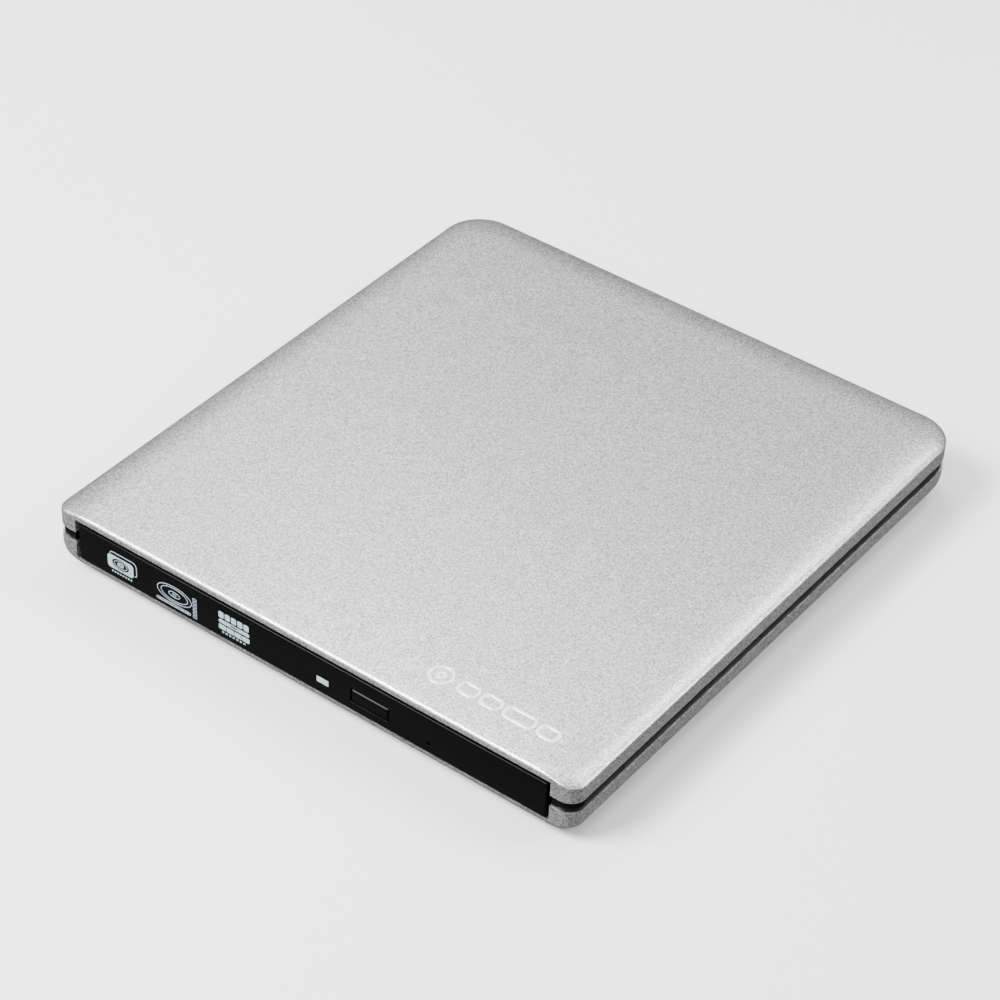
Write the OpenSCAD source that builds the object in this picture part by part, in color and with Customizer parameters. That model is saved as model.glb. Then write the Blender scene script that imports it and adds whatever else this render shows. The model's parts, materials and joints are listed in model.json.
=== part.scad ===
// Slim external optical drive: a two-shell case around a tray-loading drive.
// Millimetres. The origin is on the ground under the middle of the case.
// +X is to the right, the tray comes out along -Y, +Z is up.

/* [Case] */
// Width of the case
case_w = 142; // [141:0.5:146]
// Depth of the case
case_d = 152; // [151:0.5:156]
// Height from the ground to the top face
case_h = 16.9; // [16.8:0.1:17.6]
// Thickness of the shell walls
wall = 1.5; // [1.3:0.1:1.6]
// Plan radius of the front corners
front_r = 3.8; // [3.6:0.2:5.6]
// Plan radius of the back corners
back_r = 10; // [8:0.5:12]
// Width of the rolled border of the top face
roll_w = 10; // [8:0.5:12]
// Drop of the rolled border of the top face
roll_drop = 2; // [1.6:0.1:2.4]
// Radius of the front edge of the top face
front_edge_r = 1.25; // [1:0.05:1.5]
// Width of the round under the sides
belly_w = 6; // [5:0.5:7]
// Radius of the round under the front
chin_r = 4.2; // [3.5:0.1:4.2]
// Top edge of the bottom shell
split_low = 8.6; // [8.5:0.1:8.8]
// Bottom edge of the top shell
split_high = 11.3; // [11.2:0.1:11.4]
// How far a foot stands out of the bottom
foot_h = 0.8; // [0.6:0.1:0.8]
// Radius of a rubber foot
foot_r = 5; // [4:0.5:6]

/* [Drive] */
// Width of the front bezel
bezel_w = 128; // [127.4:0.2:128.4]
// Height of the drive and its bezel
drive_h = 9.5; // [9.4:0.1:9.6]
// Height of the drive's underside above the ground
drive_z = 4.6; // [4.5:0.1:4.7]
// Width of the drive's steel pan
pan_w = 126; // [125.8:0.2:126.2]
// Thickness of the drive's sheet steel
sheet = 0.6; // [0.5:0.1:0.6]
// Gap between the bezel and the opening at the sides
bezel_gap = 0.8; // [0.6:0.1:1]
// Travel of the tray
tray_travel = 126; // [120:1:128]

/* [Disc well and pick-up] */
// Radius of the disc well in the tray
well_r = 60.4; // [60.2:0.1:60.6]
// Radius of the hub that centres a disc
hub_r = 7.35; // [7.3:0.01:7.4]
// Radius of the turntable under the disc
turntable_r = 14.5; // [13.5:0.5:15]
// Lens distance from the spindle axis at rest
lens_x = 22.5; // [22:0.1:23]
// Travel of the pick-up
sled_travel = 36; // [32:0.5:36]
// Direction that the pick-up travels in, from +X
sled_dir = 225; // [220:1:230]

/* [Front controls] */
// Centre of the eject button from the middle
button_x = 18.2; // [17.5:0.1:19]
// Width of the eject button
button_w = 9.9; // [9:0.1:10.2]
// Height of the eject button
button_h = 3.3; // [3:0.1:3.4]
// Travel of the eject button
button_travel = 0.8; // [0.6:0.1:0.8]
// Centre of the status window from the middle
window_x = 5.45; // [5:0.05:6]
// Distance of the emergency eject hole from the middle
pinhole_x = 33.9; // [33.5:0.1:34.5]

/* [Hidden] */
$fn = 48;

silver = "silver";
black = "#1c1c1e";
steel = "lightsteelblue";
board_green = "#1d6b3c";

// Small allowance that makes cuts pass through a face
cut = 0.1;
// Straight steps in a quarter turn of the shells' corners
corner_steps = 12;
front_y = -case_d / 2;
back_y = case_d / 2;
base_z = foot_h;
drive_top = drive_z + drive_h;
roll_angles = [0, 12, 24, 36, 48, 60, 70, 78, 85, 90];
side_crease_z = case_h - roll_drop;
front_crease_z = case_h - front_edge_r;
ceiling_z = 15.2;
opening_half = bezel_w / 2 + bezel_gap;
opening_low = drive_z - 0.15;
opening_high = drive_top + 0.95;
belly_z = 6.6;
floor_z = 2.4;
edge_bevel = 0.3;

// Screws that close the case
case_screw_places = [[65.7, -62], [-65.7, -62], [60, 68], [-60, 68]];
boss_r = 2.3;
screw_r = 1;
screw_clear_r = 1.1;
screw_snug_r = 1.02;
screw_head_r = 1.7;
foot_places = [[56, -60], [-56, -60], [54, 60], [-54, 60]];
foot_sunk = 0.6;

// Rear ports
port_half = 28;
port_low = 6.9;
port_high = 12.1;
port_gap = 0.15;
// Inset of the black frame behind the shells' edges, and of the seam above it
lip_in = 0.3;
lip_h = 0.65;
seam_in = 0.8;
usb_x = -12;
jack_x = 14;
jack_z = 9.3;
board_z = 6.5;
board_t = 1;
board_top = board_z + board_t;
board_screw_places = [[34, 64], [-34, 64]];

// Slim drive
pan_front = -71.2;
pan_back = 52.6;
pan_floor = drive_z + sheet;
lid_z = drive_top - sheet;
lid_screw_places = [[58, 50.9], [-58, 50.9], [61, -57], [-61, -57]];
drive_screw_y = [-20, 30];
drive_screw_z = 12.2;

// Tray
disc_y = -9;
deck_half = 62;
deck_top = 12.6;
deck_under = 10.3;
well_floor = 11.1;
rail_over_z = 10.8;
skirt_half = 58.2;
skirt_t = 1.2;
skirt_low = 6.1;
tray_front = -73.5;
tray_back = 50.5;
rear_skirt = 43;
bezel_t = 2.4;
bezel_back = front_y + bezel_t;
button_z = drive_z + 4;
window_z = drive_z + 3.4;
window_w = 3.3;
window_h = 1.6;
pinhole_z = drive_z + 2.5;
pinhole_r = 0.5;

// Latch
latch_pivot = [41, -64];
latch_release = 16;
post_place = [37, -57];
post_r = 1.1;

// Pick-up mechanism, along its own X axis from the spindle
rod_y = 16.5;
rod_z = 8.5;
rod_r = 1;
screw_y = 22.3;
screw_z = 8.2;
grommet_places = [[-18, 18.5], [-14, -22.5], [38, 26.5]];
shroud_t = 0.3;

// Flat cable between the drive's fixed connector and its tray
cable_x = 13;
cable_w = 14;
cable_t = 0.15;
cable_fold = -48;

// ---------------------------------------------------------------- helpers

// Rounded plan of the case, drawn in by side, front and back
module slab(h, side = 0, front = 0, back = 0, rf = front_r, rb = back_r) {
  x = case_w / 2 - side;
  y1 = front_y + front;
  y2 = back_y - back;
  linear_extrude(h)
    polygon([
      [-x, y1 + rf], [-x + rf, y1], [x - rf, y1], [x, y1 + rf],
      [x, y2 - rb], [x - rb, y2], [-x + rb, y2], [-x, y2 - rb]
    ]);
  for (s = [-1, 1]) {
    translate([s * (x - rf), y1 + rf, 0]) cylinder(r = rf, h = h);
    translate([s * (x - rb), y2 - rb, 0]) cylinder(r = rb, h = h);
  }
}

// A block given by its lowest and highest corners
module block(lo, hi) {
  translate(lo) cube(hi - lo);
}

// A round bar along Y
module bar_y(x, z, y1, y2, r) {
  translate([x, y1, z]) rotate([-90, 0, 0]) cylinder(r = r, h = y2 - y1);
}

// A round bar along X
module bar_x(y, z, x1, x2, r) {
  translate([x1, y, z]) rotate([0, 90, 0]) cylinder(r = r, h = x2 - x1);
}

// A block whose four front edges are bevelled
module bevelled_front(x, w, z, h, y1, y2, bevel) {
  intersection() {
    translate([x, 0, z - h / 2])
      linear_extrude(h)
        polygon([
          [-w / 2, y2], [-w / 2, y1 + bevel], [-w / 2 + bevel, y1],
          [w / 2 - bevel, y1], [w / 2, y1 + bevel], [w / 2, y2]
        ]);
    translate([x + w / 2, 0, z])
      rotate([90, 0, -90])
        linear_extrude(w)
          polygon([
            [-y2, -h / 2], [-y2, h / 2], [-y1 - bevel, h / 2], [-y1, h / 2 - bevel],
            [-y1, -h / 2 + bevel], [-y1 - bevel, -h / 2]
          ]);
  }
}

// Moves its children into the pick-up mechanism's frame
module mechanism() {
  translate([0, disc_y, 0]) rotate([0, 0, sled_dir]) children();
}

module tube(r_out, r_in, h) {
  difference() {
    cylinder(r = r_out, h = h);
    translate([0, 0, -cut]) cylinder(r = r_in, h = h + 2 * cut);
  }
}

// ---------------------------------------------------------------- case

function front_inset(z) =
  z <= front_crease_z ? 0 : front_edge_r - sqrt(max(0, pow(front_edge_r, 2) - pow(z - front_crease_z, 2)));
function chin_inset(z) =
  z >= base_z + chin_r ? 0 : chin_r - sqrt(max(0, pow(chin_r, 2) - pow(base_z + chin_r - z, 2)));

// One level of the case's outline, with its corners as short straight steps
function corner(x, y, r, a) =
  [for (i = [0 : corner_steps])
    let (t = a + 90 * i / corner_steps)
      [x + r * cos(t), y + r * sin(t)]];
function level(z, side, front, back, rf, rb) =
  let (x = case_w / 2 - side, y1 = front_y + front, y2 = back_y - back)
    [for (p = concat(
      corner(x - rb, y2 - rb, rb, 0), corner(-x + rb, y2 - rb, rb, 90),
      corner(-x + rf, y1 + rf, rf, 180), corner(x - rf, y1 + rf, rf, 270)
    )) [p[0], p[1], z]];

// A closed solid through a list of levels, lowest first
module loft(levels) {
  n = len(levels[0]);
  m = len(levels);
  polyhedron(
    points = [for (l = levels) each l],
    faces = concat(
      [[for (i = [0 : n - 1]) i]],
      [[for (i = [n - 1 : -1 : 0]) (m - 1) * n + i]],
      [for (j = [0 : m - 2], i = [0 : n - 1])
        [j * n + i, (j + 1) * n + i, (j + 1) * n + (i + 1) % n, j * n + (i + 1) % n]]
    )
  );
}

module top_skin() {
  loft(concat(
    [level(split_high, 0, 0, 0, front_r, back_r)],
    [for (a = roll_angles)
      let (z = side_crease_z + roll_drop * sin(a), s = roll_w * (1 - cos(a)))
        level(z, s, front_inset(z), s, front_r, back_r - 0.35 * s)]
  ));
}

module top_cover() {
  color(silver) {
    difference() {
      top_skin();
      translate([0, 0, split_high - cut])
        slab(ceiling_z - split_high + cut, wall, wall, wall, front_r - wall, back_r - wall);
      block([-opening_half, front_y - 1, split_high - 1],
        [opening_half, front_y + wall + cut, opening_high]);
      block([-port_half - port_gap, back_y - 3, split_high - 1],
        [port_half + port_gap, back_y + 1, port_high + port_gap]);
    }
    for (p = case_screw_places)
      translate([p[0], p[1], 0])
        difference() {
          translate([0, 0, split_high]) cylinder(r = boss_r, h = ceiling_z - split_high + 0.2);
          translate([0, 0, split_high - cut]) cylinder(r = screw_snug_r, h = 2.8);
        }
    for (x = [-40, 0, 40])
      block([x - 0.6, -60, drive_top + 0.1], [x + 0.6, 45, ceiling_z + 0.2]);
  }
}

module bottom_skin() {
  loft(concat(
    [for (i = [len(roll_angles) - 1 : -1 : 0])
      let (
        z = belly_z - (belly_z - base_z) * sin(roll_angles[i]),
        s = belly_w * (1 - cos(roll_angles[i]))
      )
        level(z, s, chin_inset(z), s, front_r + 0.5 * s, back_r - 0.3 * s)],
    [level(split_low - edge_bevel, 0, 0, 0, front_r, back_r)],
    [level(split_low, edge_bevel, edge_bevel, edge_bevel, front_r - edge_bevel, back_r - edge_bevel)]
  ));
}

module bottom_cover() {
  color(silver)
    difference() {
      union() {
        difference() {
          bottom_skin();
          loft([
            level(floor_z, 4.2, 4, 4.2, 6, 7),
            level(belly_z, wall, wall, wall, front_r - wall, back_r - wall),
            level(split_low + 1, wall, wall, wall, front_r - wall, back_r - wall)
          ]);
        }
        for (p = case_screw_places)
          translate([p[0], p[1], floor_z - 0.2]) cylinder(r = boss_r, h = split_low - floor_z + 0.2);
        for (p = board_screw_places)
          translate([p[0], p[1], floor_z - 0.2]) cylinder(r = 2.2, h = board_z - floor_z + 0.2);
        for (x = [-46, 46], y = [-50, 0, 42])
          block([x - 5, y - 0.8, floor_z - 0.2], [x + 5, y + 0.8, drive_z - 0.05]);
      }
      block([-opening_half, front_y - 1, opening_low], [opening_half, front_y + 5, split_low + 1]);
      block([-port_half - port_gap, back_y - 3, port_low - port_gap],
        [port_half + port_gap, back_y + 1, split_low + 1]);
      for (p = case_screw_places)
        translate([p[0], p[1], 0]) {
          cylinder(r = screw_head_r + 0.1, h = 3.6);
          cylinder(r = screw_clear_r, h = split_low + 1);
        }
      for (p = foot_places)
        translate([p[0], p[1], 0]) cylinder(r = foot_r + 0.1, h = base_z + foot_sunk);
      for (p = board_screw_places)
        translate([p[0], p[1], floor_z + 1]) cylinder(r = 0.82, h = 5);
    }
}

module mid_frame() {
  color(black)
    difference() {
      union() {
        difference() {
          union() {
            translate([0, 0, split_low])
              slab(split_high - split_low - lip_h, lip_in, lip_in, lip_in, front_r, back_r);
            translate([0, 0, split_low])
              slab(split_high - split_low, seam_in, seam_in, seam_in, front_r - 0.5, back_r - 0.5);
            translate([0, 0, split_low - 1.2]) slab(split_high - split_low + 2.3, 1.65, 1.65, 1.65, 3, 8.4);
            intersection() {
              translate([0, 0, port_low])
                slab(port_high - port_low, lip_in, lip_in, lip_in, front_r, back_r);
              block([-port_half, back_y - 4, port_low], [port_half, back_y, port_high]);
            }
          }
          translate([0, 0, 5]) slab(10, 2.6, 2.6, 2.6, 2.4, 7.6);
        }
        for (p = case_screw_places)
          translate([p[0], p[1], split_low]) cylinder(r = boss_r, h = split_high - split_low);
        for (s = [-1, 1]) {
          block([s * 60 - 1.2, 69.5, split_low], [s * 60 + 1.2, back_y - 2, split_high]);
          block([s * 68.2 - 1.2, -63.2, split_low], [s * 68.2 + 1.2, -60.8, split_high]);
        }
        for (s = [-1, 1], y = drive_screw_y) {
          block([s * 65.9 - 2.8, y - 4, split_low], [s * 65.9 + 2.8, y + 4, split_low + 1.2]);
          block([s * 63.6 - 0.5, y - 4, split_low], [s * 63.6 + 0.5, y + 4, 13.6]);
        }
      }
      block([-opening_half - 0.3, front_y - 1, 5], [opening_half + 0.3, front_y + 5, 13]);
      for (p = case_screw_places) translate([p[0], p[1], 0]) cylinder(r = screw_clear_r, h = 20);
      for (y = drive_screw_y) bar_x(y, drive_screw_z, -70, 70, screw_clear_r);
      block([usb_x - 6.3, back_y - 4, board_top - 0.1], [usb_x + 6.3, back_y + 1, board_top + 2.85]);
      bar_y(jack_x, jack_z, back_y - 4, back_y + 1, 2.35);
    }
}

module rubber_feet() {
  color("#2a2a2c")
    for (p = foot_places)
      translate([p[0], p[1], 0]) {
        cylinder(r1 = foot_r - 0.4, r2 = foot_r, h = 0.4, $fn = 64);
        translate([0, 0, 0.4]) cylinder(r = foot_r, h = base_z + foot_sunk - 0.4);
      }
}

// A screw with a flat round head and a cross recess, standing on its head
module screw(head_r, head_h, shank_r, shank_l) {
  difference() {
    cylinder(r = head_r, h = head_h);
    for (a = [0, 90])
      rotate([0, 0, a])
        translate([-head_r * 0.6, -0.16, -cut]) cube([head_r * 1.2, 0.32, head_h * 0.6 + cut]);
  }
  translate([0, 0, head_h]) cylinder(r = shank_r, h = shank_l);
}

module case_screws() {
  color(steel)
    for (p = case_screw_places) translate([p[0], p[1], 2.4]) screw(screw_head_r, 1.2, screw_r, 10);
}

// ---------------------------------------------------------------- bridge electronics

module bridge_board() {
  color(board_green)
    difference() {
      block([-40, 54.6, board_z], [40, 73.2, board_top]);
      for (p = board_screw_places) translate([p[0], p[1], 0]) cylinder(r = screw_clear_r, h = 20);
      block([jack_x - 2.6, 63, 0], [jack_x + 2.6, 75, 20]);
    }
}

module bridge_chip() {
  color(black) block([-6, 58, board_top], [1, 65, board_top + 1]);
}

module board_crystal() {
  color("silver") block([-14, 58, board_top], [-10.8, 60.5, board_top + 0.8]);
}

module board_capacitor() {
  color("silver")
    translate([-25, 61, board_top]) {
      block([-2.2, -2.2, 0], [2.2, 2.2, 0.5]);
      cylinder(r = 2, h = 4);
    }
}

module board_screws() {
  color(steel)
    for (p = board_screw_places)
      translate([p[0], p[1], board_top + 1]) mirror([0, 0, 1]) screw(1.7, 1, 0.8, 4);
}

module usb_socket_shell() {
  color(steel)
    difference() {
      block([usb_x - 6.1, 68, board_top], [usb_x + 6.1, back_y - 0.5, board_top + 2.7]);
      block([usb_x - 5.85, 68.25, board_top + 0.25], [usb_x + 5.85, back_y, board_top + 2.45]);
    }
}

module usb_socket_tongue() {
  color(black) {
    block([usb_x - 5.8, 68.3, board_top + 0.3], [usb_x + 5.8, 70, board_top + 2.4]);
    block([usb_x - 5.2, 70, board_top + 1.1], [usb_x + 0.6, back_y - 1.2, board_top + 1.7]);
    block([usb_x + 1.8, 70, board_top + 1.1], [usb_x + 5.2, back_y - 1.2, board_top + 1.7]);
  }
}

module power_jack_body() {
  color(black)
    difference() {
      union() {
        block([jack_x - 2.4, 63.2, 7], [jack_x + 2.4, 73, 11.6]);
        bar_y(jack_x, jack_z, 72.8, back_y - 0.5, 2.25);
      }
      bar_y(jack_x, jack_z, 65, back_y + 1, 1.8);
    }
}

module power_jack_pin() {
  color(steel) bar_y(jack_x, jack_z, 65, back_y - 1, 0.65);
}

module slim_sata_socket() {
  color(black)
    difference() {
      block([16, 54.7, board_top], [42, 60, board_top + 3]);
      block([17.8, 54.6, board_top + 0.7], [40.2, 57.2, board_top + 2.1]);
      translate([34, 64, 0]) cylinder(r = 2, h = 20);
    }
}

// ---------------------------------------------------------------- slim drive, fixed parts

module drive_chassis() {
  half = pan_w / 2;
  color(steel)
    difference() {
      union() {
        block([-half, pan_front, drive_z], [half, pan_back, pan_floor]);
        for (s = [-1, 1])
          block([min(s * half, s * (half - sheet)), pan_front, drive_z],
                [max(s * half, s * (half - sheet)), pan_back, lid_z]);
        block([-half, pan_back - sheet, drive_z], [half, pan_back, lid_z]);
        for (p = lid_screw_places)
          block([p[0] - 1.6, p[1] - 1.5, lid_z - sheet], [p[0] + 1.6, p[1] + 1.5, lid_z]);
      }
      block([15.6, pan_back - 1, 6.7], [42.4, pan_back + 1, 10.4]);
      for (p = lid_screw_places) translate([p[0], p[1], 12]) cylinder(r = 0.72, h = 3);
      for (y = drive_screw_y) bar_x(y, drive_screw_z, -70, 70, screw_snug_r);
    }
}

module drive_lid() {
  half = pan_w / 2;
  color(steel)
    difference() {
      block([-half, pan_front, lid_z], [half, pan_back, drive_top]);
      for (p = lid_screw_places)
        translate([p[0], p[1], 0]) {
          cylinder(r = 0.78, h = 20);
          translate([0, 0, lid_z + 0.2]) cylinder(r = 1.35, h = 5);
        }
    }
}

module chassis_screws() {
  color("gray")
    for (p = lid_screw_places)
      translate([p[0], p[1], drive_top]) mirror([0, 0, 1]) screw(1.3, 0.4, 0.7, 0.75);
}

module drive_screws() {
  color("gray")
    for (s = [-1, 1], y = drive_screw_y)
      translate([s * 65.1, y, drive_screw_z]) rotate([0, -s * 90, 0]) screw(1.8, 1, screw_r, 1.65);
}

// Channel section along Y, open towards the middle; s is the side
module channel(s, x_in, x_out, z1, z2, web, flange, y1, y2) {
  difference() {
    block([min(s * x_in, s * x_out), y1, z1], [max(s * x_in, s * x_out), y2, z2]);
    block([min(s * (x_in - 1), s * (x_out - web)), y1 - 1, z1 + flange],
          [max(s * (x_in - 1), s * (x_out - web)), y2 + 1, z2 - flange]);
  }
}

module guide_rail(s) {
  color("ivory") channel(s, 59.9, 62.35, 5.4, 10.6, 0.85, 0.7, -70.8, 51.5);
}

module guide_rail_left() {
  guide_rail(-1);
}

module guide_rail_right() {
  guide_rail(1);
}

module runner(s) {
  color(steel) channel(s, 59.2, 61.35, 6.25, 9.75, 0.4, 0.4, -70, 50);
}

module runner_left() {
  runner(-1);
}

module runner_right() {
  runner(1);
}

module connector_board() {
  color(board_green) block([4, 44.2, 6.1], [44, 51.6, 6.9]);
}

module slim_sata_plug() {
  color(black) {
    block([16, 48.4, 6.9], [42, 53.4, 10.1]);
    block([18, 53.4, board_top + 0.85], [40, 56.8, board_top + 1.95]);
  }
}

module latch_post() {
  color(steel)
    translate([post_place[0], post_place[1], pan_floor]) cylinder(r = post_r, h = 8.4 - pan_floor);
}

module flat_cable() {
  x1 = cable_x - cable_w / 2;
  x2 = cable_x + cable_w / 2;
  low = pan_floor + 0.02;
  high = 5.9 - cable_t;
  mid = (low + high + cable_t) / 2;
  color("#d8dce0") {
    block([x1, cable_fold, low], [x2, 44, low + cable_t]);
    block([x1, cable_fold, high], [x2, 20, high + cable_t]);
    difference() {
      bar_x(cable_fold, mid, x1, x2, mid - low);
      bar_x(cable_fold, mid, x1 - 1, x2 + 1, mid - low - cable_t);
      block([x1 - 1, cable_fold, low - 1], [x2 + 1, cable_fold + 2, high + 1]);
    }
    block([x1, 44, low], [x2, 44 + cable_t, 6.1]);
  }
}

// ---------------------------------------------------------------- tray and bezel

module shroud_plan(grow, z, h) {
  mechanism()
    translate([0, 0, z]) {
      cylinder(r = 24 + grow, h = h);
      linear_extrude(h)
        polygon([
          [0, -24 - grow], [50, -24 - grow], [66 + grow, -10], [66 + grow, 10],
          [50, 24 + grow], [0, 24 + grow]
        ]);
    }
}

module tray() {
  color("#26262a")
    difference() {
      union() {
        block([-deck_half, tray_front, rail_over_z], [deck_half, tray_back, deck_top]);
        block([-skirt_half, tray_front, deck_under], [skirt_half, tray_back, rail_over_z + cut]);
        for (s = [-1, 1]) {
          block([min(s * skirt_half, s * (skirt_half - skirt_t)), tray_front, skirt_low],
                [max(s * skirt_half, s * (skirt_half - skirt_t)), tray_back, deck_under + cut]);
          block([min(s * (skirt_half - cut), s * 60.75), -70, 6.85],
                [max(s * (skirt_half - cut), s * 60.75), tray_back, 9.15]);
        }
        block([-skirt_half, rear_skirt - skirt_t, skirt_low], [skirt_half, rear_skirt, deck_under + cut]);
        block([-skirt_half, tray_front, skirt_low], [skirt_half, tray_front + skirt_t, deck_under + cut]);
        mechanism()
          for (p = grommet_places)
            translate([p[0], p[1], 7.8]) cylinder(r = 2.2, h = deck_under - 7.8 + cut);
        for (p = [[9, 24], [51, 24], [9, 38], [51, 38]])
          translate([p[0], p[1], 9.4]) cylinder(r = 1.5, h = deck_under - 9.4 + cut);
        for (p = [[27.5, -59], [27.5, -66.5]])
          translate([p[0], p[1], 7.2]) cylinder(r = 1.4, h = deck_under - 7.2 + cut);
        translate([latch_pivot[0], latch_pivot[1], 6.3]) cylinder(r = screw_r, h = deck_under - 6.3 + cut);
      }
      translate([0, disc_y, well_floor]) cylinder(r = well_r, h = 5, $fn = 96);
      shroud_plan(0.2, well_floor - shroud_t, 5);
      shroud_plan(-2, 9, 5);
      mechanism()
        for (p = grommet_places)
          translate([p[0], p[1], 7]) cylinder(r = screw_snug_r, h = 2.8);
      block([button_x - 6.8, tray_front - 1, 5], [button_x + 6.8, tray_front + 2, rail_over_z - 0.1]);
      block([window_x - 2.4, tray_front - 1, 6.6], [window_x + 2.4, tray_front + 2, 9.6]);
      block([pinhole_x - 1.5, tray_front - 1, 6], [pinhole_x + 1.5, tray_front + 2, 8.6]);
      for (x = [-50, -10, 48])
        block([x - 3.3, tray_front - 1, 9.1], [x + 3.3, tray_front + 2, deck_under]);
      block([post_place[0] - 2, rear_skirt - 2, 5], [post_place[0] + 2, rear_skirt + 1, 8.7]);
      bar_y(-50, 8, 40, 45, 1.3);
    }
}

module bezel() {
  color(black)
    difference() {
      union() {
        bevelled_front(0, bezel_w, drive_z + drive_h / 2, drive_h, front_y, bezel_back, 0.35);
        for (x = [-50, -10, 48])
          block([x - 3, bezel_back - cut, 9.3], [x + 3, -70, deck_under - 0.05]);
      }
      block([button_x - button_w / 2 - 0.2, front_y - 1, button_z - button_h / 2 - 0.2],
            [button_x + button_w / 2 + 0.2, bezel_back + 1, button_z + button_h / 2 + 0.2]);
      block([window_x - window_w / 2, front_y - 1, window_z - window_h / 2],
            [window_x + window_w / 2, bezel_back + 1, window_z + window_h / 2]);
      bar_y(pinhole_x, pinhole_z, front_y - 1, bezel_back + 1, pinhole_r);
    }
}

module status_window() {
  color("#b8c4cc")
    block([window_x - window_w / 2 + 0.02, front_y + 0.05, window_z - window_h / 2 + 0.02],
          [window_x + window_w / 2 - 0.02, -70.3, window_z + window_h / 2 - 0.02]);
}

module status_led() {
  color("white") block([window_x - 0.9, -70.2, 7.2], [window_x + 0.9, -68.6, 8.8]);
}

module front_board() {
  color(board_green)
    difference() {
      block([1, -70.9, 6.4], [30, -56, 7.2]);
      translate([27.5, -59, 6]) cylinder(r = 0.6, h = 2);
    }
}

module eject_switch() {
  color("silver") {
    block([button_x - 1.9, -70.2, 7.2], [button_x + 1.9, -66.8, 9.8]);
    block([button_x - 0.8, -70.75, 8], [button_x + 0.8, -70.2, 9.2]);
  }
}

module main_board() {
  color(board_green) block([6, 21, 8.6], [54, 40, 9.4]);
}

module main_chip() {
  color(black) block([23, 24, 7.4], [34, 35, 8.6]);
}

module driver_chip() {
  color(black) block([42, 25, 7.5], [51, 32, 8.6]);
}

module cable_connector() {
  color("ivory") block([cable_x - 8, 15.4, 5.9], [cable_x + 8, 20.9, 8.6]);
}

module eject_button() {
  color(black) {
    bevelled_front(button_x, button_w, button_z, button_h, front_y + 0.02, -73.3, 0.3);
    block([button_x - 5.6, -73.4, button_z - 2.2], [button_x + 5.6, -72.8, button_z + 2]);
    block([button_x - 1.2, -72.9, button_z - 0.6], [button_x + 1.2, -71.6, button_z + 0.6]);
  }
}

module latch_solenoid() {
  color("peru") {
    block([45.5, -70, 6.3], [55.5, -62.6, 10.2]);
    bar_x(-66.3, 8.2, 44, 45.6, 0.9);
  }
}

module kick_plunger() {
  color("ivory") {
    bar_y(-50, 8, 30, 51.9, 1.2);
    bar_y(-50, 8, 41, 41.7, 1.9);
  }
}

module kick_spring() {
  color(steel) translate([-50, 30.5, 8]) rotate([-90, 0, 0]) tube(1.75, 1.3, 10.5);
}

// Sprung hook that holds the tray shut, drawn released
module latch_lever() {
  color("ivory")
    translate([latch_pivot[0], latch_pivot[1], 6.5])
      rotate([0, 0, -latch_release])
        difference() {
          union() {
            cylinder(r = 2, h = 1.2);
            linear_extrude(1.2)
              polygon([[-1.1, 0], [1.1, 0], [1.1, 9.8], [-4.8, 9.8], [-4.8, 8.5], [-1.1, 8.5]]);
            linear_extrude(1.2)
              polygon([[0.6, -1.2], [-0.8, 1.4], [-7.9, -3.6], [-7.9, -5.2], [-6.3, -5.2]]);
          }
          translate([0, 0, -cut]) cylinder(r = screw_r + 0.05, h = 2);
        }
}

// ---------------------------------------------------------------- pick-up mechanism

module shroud_plate() {
  color("#3a3a3e")
    difference() {
      shroud_plan(0, well_floor - shroud_t, shroud_t);
      mechanism() {
        translate([0, 0, 9]) cylinder(r = turntable_r + 1.5, h = 4);
        translate([17, -6, 9]) cube([46.5, 12, 4]);
      }
    }
}

module traverse_frame() {
  color("gray")
    mechanism()
      difference() {
        union() {
          translate([0, 0, skirt_low])
            linear_extrude(0.9)
              polygon([
                [-16, -20], [52, -20], [62, -13], [62, 15], [59.5, 25], [34, 25.5], [-16, 25.5]
              ]);
          for (p = grommet_places)
            translate([p[0], p[1], skirt_low]) cylinder(r = 3.6, h = 0.9);
          for (x = [9.5, 58.6], y = [-rod_y, rod_y])
            block([x, y - 2.2, 6.9], [x + 2.8, y + 2.2, 10]);
          block([57, screw_y - 2, 6.9], [58.8, screw_y + 2, 10]);
          block([-8.4, screw_y - 2.5, 6.9], [-7, screw_y + 2.5, 10]);
        }
        translate([15, -13, 5]) cube([41, 26, 4]);
        for (y = [-rod_y, rod_y]) bar_x(y, rod_z, 5, 65, rod_r + 0.02);
        bar_x(screw_y, screw_z, 20, 65, screw_r + 0.05);
        translate([-6.9, screw_y - 2.7, 5]) cube([15, 5.4, 4]);
        for (p = grommet_places) translate([p[0], p[1], 5]) cylinder(r = 2, h = 5);
      }
}

module guide_rod(y) {
  color("silver") mechanism() bar_x(y, rod_z, 9.7, 61.2, rod_r);
}

module guide_rod_main() {
  guide_rod(-rod_y);
}

module guide_rod_side() {
  guide_rod(rod_y);
}

module sled_motor() {
  color("silver")
    mechanism()
      difference() {
        bar_x(screw_y, screw_z, -6.8, 7.2, 2.1);
        bar_x(screw_y, screw_z, 0, 9, screw_r + 0.05);
      }
}

module lead_screw() {
  color("gold")
    mechanism() {
      bar_x(screw_y, screw_z, 0.5, 58.4, screw_r);
      bar_x(screw_y, screw_z, 7.4, 8, screw_r + 0.5);
    }
}

module spindle_base() {
  color("gray")
    translate([0, disc_y, 0])
      difference() {
        union() {
          translate([0, 0, 7]) cylinder(r = 12.5, h = 0.5);
          translate([0, 0, 7.4]) cylinder(r = 2.6, h = 1.8);
        }
        translate([0, 0, 7.2]) cylinder(r = 1.05, h = 5);
      }
}

module spindle_stator() {
  color("peru")
    translate([0, disc_y, 0])
      difference() {
        translate([0, 0, 7.9]) tube(9, 2.7, 1.4);
        for (a = [0 : 40 : 320])
          rotate([0, 0, a]) translate([4.4, -0.35, 7.8]) cube([5, 0.7, 2]);
      }
}

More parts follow.
